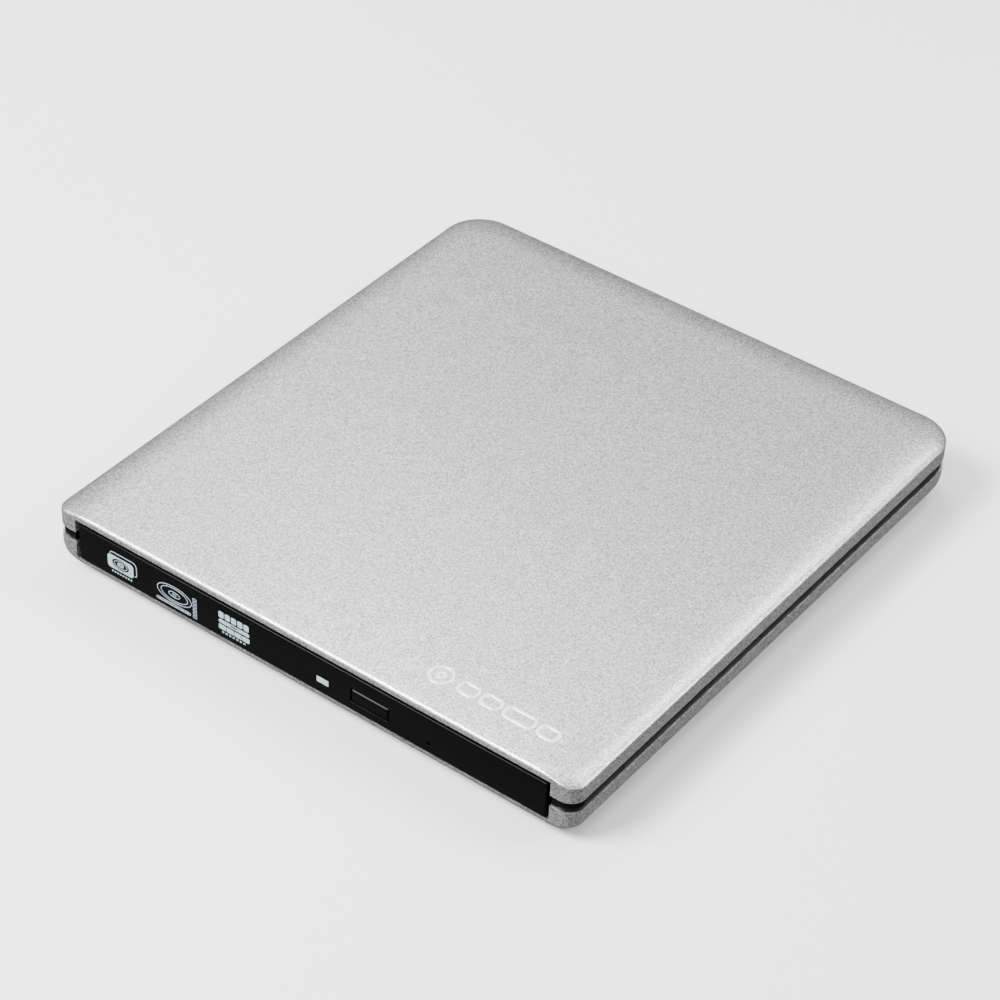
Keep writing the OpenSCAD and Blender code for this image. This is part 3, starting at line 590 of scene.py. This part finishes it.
def bottom_shell():
    """Tub with a rounded belly, a chin of its own radius in front, and a square rim."""
    bm = bmesh.new()
    levels = []
    for i in range(ROLL_STEPS, -1, -1):
        a = math.radians(90 * i / ROLL_STEPS)
        z, s = BELLY_Z - (BELLY_Z - BASE_Z) * math.sin(a), BELLY_W * (1 - math.cos(a))
        chin = round_inset(BASE_Z + CHIN_R - z, CHIN_R)
        levels.append(level(z, s, chin, s, FRONT_R + 0.5 * s, BACK_R - 0.3 * s))
    levels.append(level(SPLIT_LOW, 0, 0, 0, FRONT_R, BACK_R))
    add_loft(bm, levels)
    obj = finish_mesh("bottom_shell", bm, MATERIALS["silver_shell"], 50)

    def hollow(bm):
        wide = outline(CASE_X - WALL, -CASE_Y + WALL, CASE_Y - WALL, FRONT_R - WALL, BACK_R - WALL,
                       CORNER_STEPS)
        add_loft(bm, [(outline(66.8, -72, 71.8, 6, 7, CORNER_STEPS), FLOOR_Z), (wide, BELLY_Z),
                      (wide, SPLIT_LOW + PAST)])

    def inside(bm):
        for x, y in SCREW_PLACES:
            add_disc(bm, x, y, FLOOR_Z - BITE, SPLIT_LOW, BOSS_R)
        for x, y in STANDOFF_PLACES:
            add_disc(bm, x, y, FLOOR_Z - BITE, STANDOFF_TOP, STANDOFF_R)
        for x, y in RIB_PLACES:
            add_block(bm, (x - 5, y - 0.8, FLOOR_Z - BITE), (x + 5, y + 0.8, RIB_TOP))

    def holes(bm):
        high = SPLIT_LOW + PAST
        add_block(bm, (-OPEN_X, -CASE_Y - PAST, OPEN_LOW), (OPEN_X, -CASE_Y + 5, high))
        add_block(bm, (-PORT_X, CASE_Y - 2 * WALL, PORT_LOW), (PORT_X, CASE_Y + PAST, high))
        for x, y in SCREW_PLACES:
            add_disc(bm, x, y, 0, HEAD_TOP, HEAD_R, 40)
            add_disc(bm, x, y, HEAD_TOP - 0.1, high, THROUGH_R, 24)
        for x, y in FOOT_PLACES:
            add_disc(bm, x, y, 0, FOOT_TOP, FOOT_R, 56)
        for x, y in STANDOFF_PLACES:
            add_disc(bm, x, y, FLOOR_Z + PAST, STANDOFF_BORE_TOP, STANDOFF_BORE_R, 20)

    cut_with(obj, hollow)
    cut_with(obj, inside, "UNION")
    cut_with(obj, holes)
    soft_edges(obj, SHELL_EDGE)
    return place(obj, "case", "silver_shell", "bottom_cover")


top_shell()
bottom_shell()

# ---------------------------------------------------------------- bezel and generic marks

BEZEL_X, BEZEL_LOW, BEZEL_HIGH, BEZEL_BACK = 64, 4.6, 14.1, -73.6
BEZEL_FACE = -76.0
PRINT_T = 0.02
PRINT_BACK = BEZEL_FACE + PRINT_T
# Rectangular holes, as (centre x, centre z, half width, half height): the eject button and the window
BEZEL_HOLES = ((18.2, 8.6, 5.15, 1.85), (5.45, 8.0, 1.65, 0.8))
PINHOLE_X, PINHOLE_Z, PINHOLE_R = 33.9, 7.1, 0.5


def add_print(bm, pts):
    """Film of ink on the bezel's face with the given outline in X and Z."""
    add_rings(bm, [metres((x, y, z) for x, z in pts) for y in (BEZEL_FACE, PRINT_BACK)])


def add_print_ring(bm, outer, inner):
    """The same between two outlines with equally many points."""
    rows = [[bm.verts.new(p) for p in metres((x, y, z) for x, z in pts)] for pts, y in (
        (outer, BEZEL_FACE), (outer, PRINT_BACK), (inner, PRINT_BACK), (inner, BEZEL_FACE))]
    bridge(bm, rows + rows[:1])


def hollow_plate(bm, cx, cz, half_x, half_z, r, hole):
    """Rounded plate with an elliptical hole of the given radii."""
    steps = 7
    plate = round_rect(cx - half_x, cx + half_x, cz - half_z, cz + half_z, r, steps)
    add_print_ring(bm, plate, ellipse(cx, cz, *hole, 4 * (steps + 1)))


def stroke_rect(bm, x1, x2, z1, z2, r, w):
    inner = round_rect(x1 + w, x2 - w, z1 + w, z2 - w, max(0.04, r - w), 4)
    add_print_ring(bm, round_rect(x1, x2, z1, z2, r, 4), inner)


def stroke_ellipse(bm, cx, cz, rx, rz, w):
    add_print_ring(bm, ellipse(cx, cz, rx, rz, 48), ellipse(cx, cz, rx - w, rz - w, 48))


def stroke_line(bm, pts, w):
    for (ax, az), (bx, bz) in zip(pts, pts[1:]):
        k = w / 2 / math.hypot(bx - ax, bz - az)
        dx, dz = (bx - ax) * k, (bz - az) * k
        add_print(bm, [(ax - dz, az + dx), (ax + dz, az - dx), (bx + dz, bz - dx), (bx - dz, bz + dx)])


def row_of_boxes(bm, x1, count, pitch, width, z1, z2, r):
    for i in range(count):
        left = x1 + pitch * i
        add_print(bm, round_rect(left, left + width, z1, z2, r, 3))


def bezel_marks():
    """Generic pictograms in place of the printed ones: discs in a plate, in an outline and in bars."""
    bm = bmesh.new()
    # a filled plate with a disc in it, an outline behind it and a row of dots below
    x, z = -51.65, BEZEL_LOW + 4.35
    hollow_plate(bm, x, z, 3.75, 1.85, 0.8, (2.5, 1.45))
    hollow_plate(bm, x, z, 0.9, 0.53, 0.5, (0.4, 0.24))
    stroke_ellipse(bm, x, z, 1.95, 1.08, 0.14)
    behind = ((-3.05, 2.15), (-2.75, 2.65), (-2.35, 2.8), (3.65, 2.8), (4.35, 2.55),
              (4.7, 1.85), (4.7, -0.45), (4.55, -0.85), (4.15, -1.0))
    stroke_line(bm, [(x + dx, z + dz) for dx, dz in behind], 0.2)
    row_of_boxes(bm, x - 2.65, 8, 0.78, 0.45, z - 2.9, z - 2.5, 0.1)
    # an outlined disc with its hub, over an outlined bar, beside a column of boxes
    x, z = -36.0, BEZEL_LOW + 4.5
    for k in (1.0, 0.78, 0.34):
        stroke_ellipse(bm, x, z, 5.0 * k, 2.35 * k, 0.16)
    stroke_ellipse(bm, x, z, 0.62, 0.34, 0.12)
    stroke_rect(bm, x - 5.2, x + 4.6, z - 3.5, z - 2.75, 0.3, 0.14)
    for i in range(6):
        left, low = x - 4.6 + 1.52 * i, z - 3.5 + 0.98 * i
        stroke_rect(bm, left, left + 1.1, z - 3.3, z - 2.94, 0.12, 0.09)
        stroke_rect(bm, x + 5.3, x + 6.4, low, low + 0.75, 0.2, 0.14)
    # a filled disc between bars
    x, z = -19.0, BEZEL_LOW + 4.55
    hollow_plate(bm, x, z, 4.3, 0.5, 0.49, (1.3, 0.22))
    row_of_boxes(bm, x - 4.3, 5, 1.76, 1.4, z + 0.95, z + 2.65, 0.3)
    row_of_boxes(bm, x - 4.3, 4, 2.2, 2.0, z - 2.25, z - 0.95, 0.2)
    row_of_boxes(bm, x - 3.4, 7, 1.0, 0.55, z - 3.15, z - 2.7, 0.1)
    return place(finish_mesh("bezel_marks", bm, INK), "tray", "window_grey")


def front_bezel():
    """The bezel, its face set back by the thickness of the printing."""
    bm = bmesh.new()
    top, low, side = 0.32, 0.1, 0.3
    profile = [(BEZEL_BACK, BEZEL_LOW), (BEZEL_BACK, BEZEL_HIGH), (PRINT_BACK + top, BEZEL_HIGH),
               (PRINT_BACK + 0.3 * top, BEZEL_HIGH - 0.3 * top), (PRINT_BACK, BEZEL_HIGH - top),
               (PRINT_BACK, BEZEL_LOW + low), (PRINT_BACK + low, BEZEL_LOW)]
    rings = []
    for x, drawn_in in ((-BEZEL_X, side), (side - BEZEL_X, 0), (BEZEL_X - side, 0), (BEZEL_X, side)):
        rings.append(metres((x, y if y == BEZEL_BACK else y + drawn_in, z) for y, z in profile))
    add_rings(bm, rings)
    obj = finish_mesh("front_bezel", bm, MATERIALS["bezel_black"])

    def ears(bm):
        for x in (-50, -10, 48):
            add_block(bm, (x - 3, BEZEL_BACK - 0.2, 9.3), (x + 3, -70, 10.25))

    def holes(bm):
        y1, y2 = BEZEL_FACE - 1, BEZEL_FACE + 4
        for x, z, half_x, half_z in BEZEL_HOLES:
            add_block(bm, (x - half_x, y1, z - half_z), (x + half_x, y2, z + half_z))
        circle = ellipse(PINHOLE_X, PINHOLE_Z, PINHOLE_R, PINHOLE_R, 24)
        add_rings(bm, [metres((x, y, z) for x, z in circle) for y in (y1, y2)])

    cut_with(obj, ears, "UNION")
    cut_with(obj, holes)
    soft_edges(obj, 0.06)
    return place(obj, "tray", "bezel_black", "bezel")


# Widths of the raised lines at their foot and at their crest
RIDGE_FOOT, RIDGE_CREST = 0.8, 0.5
MARK_X, MARK_Y = 29.4, -66.2
BAR_X, BAR_GAP, BAR_HALF, BAR_R, BAR_WIDTHS = 34.2, 1.3, 1.6, 1.2, (4.6, 4.6, 7.4, 4.6)


def add_ridge(bm, path):
    """Closed ridge with sloping sides on the top face; path(offset) gives its line moved outwards."""
    z1, z2 = TOP_Z - EMBOSS - 0.05, TOP_Z
    foot, crest = RIDGE_FOOT / 2, RIDGE_CREST / 2
    rows = [[bm.verts.new(p) for p in metres((x, y, z) for x, y in path(d))]
            for d, z in ((foot, z1), (crest, z2), (-crest, z2), (-foot, z1))]
    bridge(bm, rows + rows[:1])


def embossed_mark():
    """A generic disc symbol and bars raised on the top face near its front right corner."""
    bm = bmesh.new()
    add_ridge(bm, lambda d: ellipse(MARK_X, MARK_Y, 2.6 + d, 2.6 + d, 64))
    add_ridge(bm, lambda d: ellipse(MARK_X, MARK_Y, 0.8 + d, 0.8 + d, 48))
    left = BAR_X
    for width in BAR_WIDTHS:
        right = left + width

        def bar(d, left=left, right=right):
            half = BAR_HALF + d
            return round_rect(left - d, right + d, MARK_Y - half, MARK_Y + half, BAR_R + d, 10)

        add_ridge(bm, bar)
        left = right + BAR_GAP
    # The mark's brighter colour is a painted highlight on its ridges.
    return place(finish_mesh("embossed_mark", bm, RAISED_HIGHLIGHT, 20), "case", "silver_shell")


front_bezel()
bezel_marks()
embossed_mark()

# ---------------------------------------------------------------- small parts, finer than their solids


def mech(x, y, z):
    """Mechanism frame (x from the disc centre towards the pick-up's far end) to the shared frame, metres."""
    k = math.sqrt(0.5)
    return Vector(((-x + y) * k * MM, (-(x + y) * k - 9) * MM, z * MM))


def add_tube(bm, points, radius, steps=10):
    """Round wire through points given in metres, capped at its ends; radius in millimetres."""
    rings = []
    side = None
    last = len(points) - 1
    for i, p in enumerate(points):
        way = (points[min(i + 1, last)] - points[max(i - 1, 0)]).normalized()
        if side is None:
            side = way.orthogonal().normalized()
        side = (side - way * side.dot(way)).normalized()
        other = way.cross(side)
        rings.append([p + (side * math.cos(t) + other * math.sin(t)) * radius * MM for t in around(steps)])
    add_rings(bm, rings)


def kick_spring():
    """Compression spring with closed ends, in the box of its node."""
    lo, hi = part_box("kick_spring")
    cx, cz = (lo[0] + hi[0]) / 2, (lo[2] + hi[2]) / 2
    wire, turns, steps, closed = 0.2, 9, 24, 0.8
    mean = (hi[0] - lo[0]) / 2 - wire * MM
    y1, y2 = lo[1] + wire * MM, hi[1] - wire * MM
    pts = []
    for i in range(turns * steps + 1):
        t = i / (turns * steps)
        rise = min(1.0, max(0.0, (t * turns - closed) / (turns - 2 * closed)))
        a = 2 * math.pi * turns * t
        y = y1 + (y2 - y1) * (0.03 * t + 0.97 * rise)
        pts.append(Vector((cx + mean * math.cos(a), y, cz + mean * math.sin(a))))
    bm = bmesh.new()
    add_tube(bm, pts, wire, 10)
    place(finish_mesh("kick_spring_wire", bm, MATERIALS["rod_steel"], 60), "tray", "rod_steel", "kick_spring")


SCREW_Y, SCREW_Z, SCREW_R, SCREW_PITCH = 22.3, 8.2, 1.0, 3.0
THREAD_X1, THREAD_X2, THREAD_DEPTH, THREAD_FADE = 8.2, 58.2, 0.16, 1.5
LENS_AT = 22.5


def lead_screw():
    """Shaft with a collar and a rounded thread that runs out at both ends."""
    turn = around(24)
    per_mm = 8

    def ring(x, radii):
        return [mech(x, SCREW_Y + r * math.cos(t), SCREW_Z + r * math.sin(t)) for r, t in zip(radii, turn)]

    def plain(spots):
        return [ring(x, [SCREW_R + more] * len(turn)) for x, more in spots]

    def thread(x, t):
        wave = 0.5 + 0.5 * math.cos(2 * math.pi * x / SCREW_PITCH - t)
        fade = min(1.0, max(0.0, (x - 9.0) / THREAD_FADE), max(0.0, (57.0 - x) / THREAD_FADE))
        return SCREW_R - THREAD_DEPTH * (1 - wave**0.6) * fade

    rings = plain([(0.5, -0.2), (0.7, 0), (7.4, 0), (7.4, 0.5), (8.0, 0.5), (8.0, 0)])
    for i in range(int((THREAD_X2 - THREAD_X1) * per_mm)):
        x = THREAD_X1 + i / per_mm
        rings.append(ring(x, [thread(x, t) for t in turn]))
    rings += plain([(THREAD_X2, 0), (THREAD_X2 + 0.2, -0.2)])
    bm = bmesh.new()
    add_rings(bm, rings)
    place(finish_mesh("lead_screw_thread", bm, MATERIALS["brass"], 40), "lead_screw", "brass", "lead_screw")


def chip(node, body, on_top, pitch, inset=0.75, sides=("x", "y")):
    """Moulded package with gull-wing legs in the node's box; on_top is False under its board."""
    lo, hi = ([v / MM for v in p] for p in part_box(node))
    foot, free = (lo[2], hi[2]) if on_top else (hi[2], lo[2])
    up = 1 if on_top else -1
    half = (foot + free) / 2
    in_x, in_y = (inset if k in sides else 0.0 for k in ("x", "y"))
    x1, x2, y1, y2 = lo[0] + in_x, hi[0] - in_x, lo[1] + in_y, hi[1] - in_y
    levels = [(0.12, foot + 0.08 * up), (0.0, half), (0.12, free)]
    if not on_top:
        levels.reverse()
    bm = bmesh.new()
    add_loft(bm, [([(x2 - d, y2 - d), (x1 + d, y2 - d), (x1 + d, y1 + d), (x2 - d, y1 + d)], z)
                  for d, z in levels])
    obj = finish_mesh(node + "_package", bm, MATERIALS["chip_black"], 10)

    def dimple(bm):
        add_disc(bm, x1 + 1.0, y2 - 1.0, free - 0.06, free + 0.06, 0.35, 24)

    cut_with(obj, dimple)
    soft_edges(obj, 0.05, 20)
    place(obj, body, "chip_black", node)

    # each leg leaves the package at half height, drops and ends in a foot on the board
    profile = [(0.1, half), (-inset * 0.35, half), (-inset * 0.55, foot + 0.16 * up),
               (-inset, foot + 0.12 * up)]
    width, thick = pitch * 0.42, 0.1
    legs = bmesh.new()

    def leg(along, axis, sign, edge):
        upper = [(edge - sign * d, z + thick / 2) for d, z in profile]
        lower = [(edge - sign * d, z - thick / 2) for d, z in profile]
        rings = []
        for t in (along - width / 2, along + width / 2):
            loop = upper + lower[::-1]
            rings.append(metres((c, t, z) if axis == "x" else (t, c, z) for c, z in loop))
        add_rings(legs, rings)

    for axis in sides:
        a1, a2 = (y1, y2) if axis == "x" else (x1, x2)
        b1, b2 = (x1, x2) if axis == "x" else (y1, y2)
        count = int((a2 - a1 - 0.8) / pitch)
        start = (a1 + a2) / 2 - (count - 1) * pitch / 2
        for i in range(count):
            leg(start + i * pitch, axis, 1, b2)
            leg(start + i * pitch, axis, -1, b1)
    place(finish_mesh(node + "_legs", legs, SOLDER, 20), body, "can_metal")


# Chip resistors and capacitors, as (length, width)
SMALL, MEDIUM, LARGE = (1.6, 0.8), (2.0, 1.2), (3.2, 1.6)


def small_parts(name, body, z_board, up, height, groups):
    """Chip parts in groups of (size, the axis they lie along, their places)."""
    bodies, ends = bmesh.new(), bmesh.new()
    for size, axis, places in groups:
        length, width = size
        h = height * (0.8 if size == SMALL else 1.0)
        for bm, a, b, grow in ((bodies, -0.3, 0.3, 0.0), (ends, -0.5, -0.28, 0.02), (ends, 0.28, 0.5, 0.02)):
            u1, u2, v = a * length, b * length, width / 2 + grow
            z1, z2 = sorted((z_board, z_board + up * (h + grow)))
            for x, y in places:
                if axis == "x":
                    add_block(bm, (x + u1, y - v, z1), (x + u2, y + v, z2))
                else:
                    add_block(bm, (x - v, y + u1, z1), (x + v, y + u2, z2))
    for suffix, bm, mat, slot_name in (("_bodies", bodies, CERAMIC, "connector_ivory"),
                                       ("_ends", ends, SOLDER, "can_metal")):
        obj = finish_mesh(name + suffix, bm, mat, 20)
        soft_edges(obj, 0.05, 30)
        place(obj, body, slot_name)


CARRIER_X, CARRIER_Y, CARRIER_LOW, CARRIER_HIGH, CARRIER_CHAMFER = 2.75, 3.3, 8.8, 10.5, 0.25
COIL_X, COIL_Y, COIL_R, COIL_LOW, COIL_PITCH, COIL_TURNS = 2.7, 3.2, 0.18, 9.1, 0.2, 5
DOME_R, DOME_Z, DOME_RISE = 1.78, 10.62, 0.18


def lens_holder():
    """Moulded holder with a focus coil round it and the glass in a ring on top."""

    def turned(bm, profile):
        """Solid of revolution about the lens's axis, from (radius, height) points."""
        rings = []
        for r, z in profile:
            rings.append([mech(x, y, z) for x, y in ellipse(LENS_AT, 0, r, r, 48)])
        add_rings(bm, rings)

    bm = bmesh.new()
    rings = []
    for z, d in ((CARRIER_LOW, 0.0), (CARRIER_HIGH - CARRIER_CHAMFER, 0.0), (CARRIER_HIGH, CARRIER_CHAMFER)):
        x, y = CARRIER_X - d, CARRIER_Y - d
        rings.append([mech(LENS_AT + sx * x, sy * y, z) for sx, sy in ((-1, -1), (1, -1), (1, 1), (-1, 1))])
    add_rings(bm, rings)
    turned(bm, [(2.3, 10.3), (2.3, 10.62), (2.12, 10.74), (1.95, 10.74), (1.8, 10.6), (0.2, 10.6)])
    place(finish_mesh("lens_carrier", bm, MATERIALS["lens_black"], 30), "lens", "lens_black", "lens_holder")
    bm = bmesh.new()
    loop = rounded([(COIL_X, COIL_Y, COIL_R, 0), (-COIL_X, COIL_Y, COIL_R, 90),
                    (-COIL_X, -COIL_Y, COIL_R, 180), (COIL_X, -COIL_Y, COIL_R, 270)], 9)
    for j in range(COIL_TURNS):
        z = COIL_LOW + COIL_PITCH * j
        add_tube(bm, [mech(LENS_AT + x, y, z) for x, y in loop + loop[:1]], 0.1, 6)
    place(finish_mesh("focus_coil", bm, MATERIALS["copper"], 60), "lens", "copper")
    bm = bmesh.new()
    arc = [math.radians(a) for a in (0, 15, 30, 45, 60, 75, 86)]
    dome = [(DOME_R * math.cos(a), DOME_Z + DOME_RISE * math.sin(a)) for a in arc]
    turned(bm, [(DOME_R, DOME_Z - 0.02)] + dome)
    place(finish_mesh("lens_dome", bm, LENS_GLASS, 60), "lens", "led_lens")


def flat_cable():
    """Ribbon in two runs: the lower one lies still on the case; the upper one, from its fold towards the
    tray, is made in place and put on no body.
    """
    lo, hi = ([v / MM for v in p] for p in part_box("flat_cable"))
    x1, x2 = lo[0], hi[0]
    low, thick, fold = 5.22, 0.15, -48.0
    high = 5.9 - thick
    mid = (low + high + thick) / 2
    radius = mid - low - thick / 2
    # where the lower run turns up into its socket, and where the upper one ends under the tray
    socket, end = 43.7, 20
    steps_x = 12

    def strip(name, line):
        """line is a list of (y, z) of the ribbon's middle, with its thickness laid square to it."""
        xs = [x1 + (x2 - x1) * k / steps_x for k in range(steps_x + 1)]
        last = len(line) - 1
        rings = []
        for i, (y, z) in enumerate(line):
            (ya, za), (yb, zb) = line[max(i - 1, 0)], line[min(i + 1, last)]
            k = thick / 2 / math.hypot(yb - ya, zb - za)
            dy, dz = (yb - ya) * k, (zb - za) * k
            one = [(x, y - dz, z + dy) for x in xs]
            other = [(x, y + dz, z - dy) for x in reversed(xs)]
            rings.append(metres(one + other))
        bm = bmesh.new()
        add_rings(bm, rings)
        return finish_mesh(name, bm, MATERIALS["ribbon"], 50)

    arc = [math.radians(a) for a in range(0, 181, 15)]
    bend = [(fold - radius * math.sin(a), mid - radius * math.cos(a)) for a in arc]
    z1, z2 = low + thick / 2, high + thick / 2
    upright = 44 + thick / 2
    still = [(upright, 6.1), (upright, z1 + 0.3), (43.9, z1 + 0.08), (socket, z1)]
    still += [(socket - (socket - fold) * k / 24, z1) for k in range(1, 24)] + [(fold + 0.01, z1)]
    moving = bend + [(fold + (end - fold) * k / 48, z2) for k in range(1, 49)]
    place(strip("ribbon_lower", still), "case", "ribbon", "flat_cable")
    upper = strip("ribbon_upper", moving)
    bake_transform(upper)


kick_spring()
lead_screw()
chip("bridge_chip", "case", True, 0.8)
chip("main_chip", "tray", False, 0.8)
chip("driver_chip", "tray", False, 0.8, sides=("y",))
small_parts("bridge_board_parts", "case", 7.5, 1, 0.5, [
    (SMALL, "x", [(-9.5, 56.5), (-9.5, 63.2), (-9.5, 65.0), (-5.0, 67.0), (-2.0, 67.0), (29.0, 69.0),
                  (-27.0, 69.5)]),
    (SMALL, "y", [(3.2, 58.5), (3.2, 61.0), (5.6, 58.5), (5.6, 61.0)]),
    (MEDIUM, "x", [(-31.0, 61.0), (-22.5, 69.5)]),
    (MEDIUM, "y", [(3.2, 63.5), (-18.5, 59.0), (-18.5, 62.5), (26.0, 64.0)]),
    (LARGE, "x", [(-31.0, 58.0), (21.0, 64.0)]),
])
small_parts("main_board_parts", "tray", 8.6, -1, 0.5, [
    (SMALL, "x", [(44.0, 36.0), (48.0, 36.0), (25.0, 37.5), (28.5, 37.5), (32.0, 37.5), (46.5, 23.2)]),
    (SMALL, "y", [(20.0, 26.0), (20.0, 29.0), (37.5, 25.5), (37.5, 28.5), (37.5, 31.5)]),
    (MEDIUM, "x", [(39.5, 35.5)]),
    (MEDIUM, "y", [(20.0, 32.0)]),
])
small_parts("front_board_parts", "tray", 7.2, 1, 0.45, [
    (SMALL, "x", [(9.0, -66.0), (12.0, -66.0), (9.0, -63.5)]),
    (MEDIUM, "y", [(23.5, -66.5)]),
])
lens_holder()
flat_cable()

# ---------------------------------------------------------------- CAD nodes keep their shapes

EDGE_WIDTHS = {
    "eject_button": 0.12, "status_window": 0.1, "tray": 0.18, "mid_frame": 0.08, "turntable": 0.15,
    "pickup_sled": 0.15, "traverse_frame": 0.12, "drive_chassis": 0.06, "drive_lid": 0.06,
}
DEFAULT_EDGE = 0.06
# Metres between vertices that a weld joins
WELD_GAP = 1e-6


def dress_cad():
    """Gives every node the material of its slot, and the shown ones rounded edges."""
    slots = {part["node"]: part["material_slot"] for part in frame["record"]["subparts"]}
    for name, obj in NODES.items():
        material = MATERIALS[slots[name]]
        for i in range(len(obj.data.materials)):
            obj.data.materials[i] = material
        if not len(obj.data.materials):
            obj.data.materials.append(material)
        if obj.hide_render:
            continue
        weld = obj.modifiers.new("weld", "WELD")
        weld.merge_threshold = WELD_GAP
        soft_edges(obj, EDGE_WIDTHS.get(name, DEFAULT_EDGE))


dress_cad()

# ---------------------------------------------------------------- floor and light

FLOOR_HALF, FLOOR_CELLS = 3.0, 8


def make_floor():
    """Pale paper; mirror-like rays pass it, so that the polished faces see the graded world instead."""
    bm = bmesh.new()
    steps = [FLOOR_HALF * (2 * i / FLOOR_CELLS - 1) for i in range(FLOOR_CELLS + 1)]
    verts = [[bm.verts.new((x, y, 0)) for y in steps] for x in steps]
    for a, b in zip(verts, verts[1:]):
        for j in range(FLOOR_CELLS):
            bm.faces.new((a[j], b[j], b[j + 1], a[j + 1]))
    m = Nodes("floor_paper", Roughness=0.9, Specular_IOR_Level=0.2)
    m.colour(m.ramp(m.noise(0.004, 3), (0.3, (0.93, 0.93, 0.93)), (0.7, (0.95, 0.95, 0.95))))
    floor = finish_mesh("floor", bm, m.mat)
    floor.visible_glossy = False


def area_light(name, place_at, aim, size, power, size_y=None):
    data = bpy.data.lights.new(name, "AREA")
    data.energy, data.size = power, size
    if size_y:
        data.shape, data.size_y = "RECTANGLE", size_y
    obj = bpy.data.objects.new(name, data)
    obj.location = place_at
    obj.rotation_euler = (Vector(aim) - Vector(place_at)).to_track_quat("-Z", "Y").to_euler()
    bpy.context.scene.collection.objects.link(obj)


# Sky above the horizon, as (height of the direction, brightness), and what polished faces see below it,
# as (how far the direction leans to the front left, brightness)
SKY = ((0.0, 0.08), (0.42, 0.13), (0.76, 0.85), (1.0, 1.1))
BELOW = ((0.0, 0.26), (0.45, 0.08), (0.8, 0.26), (1.0, 0.36))
FRONT_LEFT = (-0.5, -0.866, 0.0)
# Heights of direction between which the one gives way to the other
HORIZON = (-0.06, 0.04)


def make_world():
    """Sky graded by height, and below the horizon a grey that depends on the lean to the front left."""
    world = bpy.data.worlds.new("studio")
    world.use_nodes = True
    tree = world.node_tree
    background = next(n for n in tree.nodes if n.type == "BACKGROUND")

    def node(kind, **inputs):
        n = tree.nodes.new(kind)
        for key, value in inputs.items():
            n.inputs[key].default_value = value
        return n

    def ramp(fac, stops):
        n = node("ShaderNodeValToRGB")
        while len(n.color_ramp.elements) < len(stops):
            n.color_ramp.elements.new(0.5)
        for e, (at, v) in zip(n.color_ramp.elements, stops):
            e.position, e.color = at, (v, v, v, 1)
        tree.links.new(fac, n.inputs["Fac"])
        return n.outputs["Color"]

    coords = node("ShaderNodeTexCoord")
    parts = node("ShaderNodeSeparateXYZ")
    tree.links.new(coords.outputs["Generated"], parts.inputs[0])
    lean = node("ShaderNodeVectorMath")
    lean.operation = "DOT_PRODUCT"
    lean.inputs[1].default_value = FRONT_LEFT
    tree.links.new(coords.outputs["Generated"], lean.inputs[0])
    half = node("ShaderNodeMapRange", **{"From Min": -1.0, "From Max": 1.0})
    tree.links.new(lean.outputs["Value"], half.inputs["Value"])
    rise = node("ShaderNodeMapRange", **{"From Min": HORIZON[0], "From Max": HORIZON[1]})
    tree.links.new(parts.outputs["Z"], rise.inputs["Value"])
    mix = node("ShaderNodeMix")
    mix.data_type = "RGBA"
    fac, a, b = (next(i for i in mix.inputs if i.name == k and i.enabled) for k in ("Factor", "A", "B"))
    tree.links.new(rise.outputs["Result"], fac)
    tree.links.new(ramp(half.outputs["Result"], BELOW), a)
    tree.links.new(ramp(parts.outputs["Z"], SKY), b)
    tree.links.new(next(o for o in mix.outputs if o.enabled), background.inputs["Color"])
    background.inputs["Strength"].default_value = 1.0
    bpy.context.scene.world = world


MIDDLE, BEFORE_FRONT, RIGHT_BORDER = (0, 0, 0), (0.06, -0.16, 0), (0.07, 0, 0)

make_floor()
make_world()
area_light("key_front_left", (-0.42, -0.60, 0.78), MIDDLE, 0.5, 35)
area_light("rim_right", (0.75, 0.55, 0.62), MIDDLE, 0.4, 8)
area_light("top_soft", (-0.06, 0.42, 0.84), MIDDLE, 1.25, 2.2, 0.6)
area_light("front_sheen", (-0.40, 0.353, 0.815), BEFORE_FRONT, 0.25, 3.2)
area_light("right_sheen", (0.14, 0.69, 0.85), RIGHT_BORDER, 0.25, 3.5)
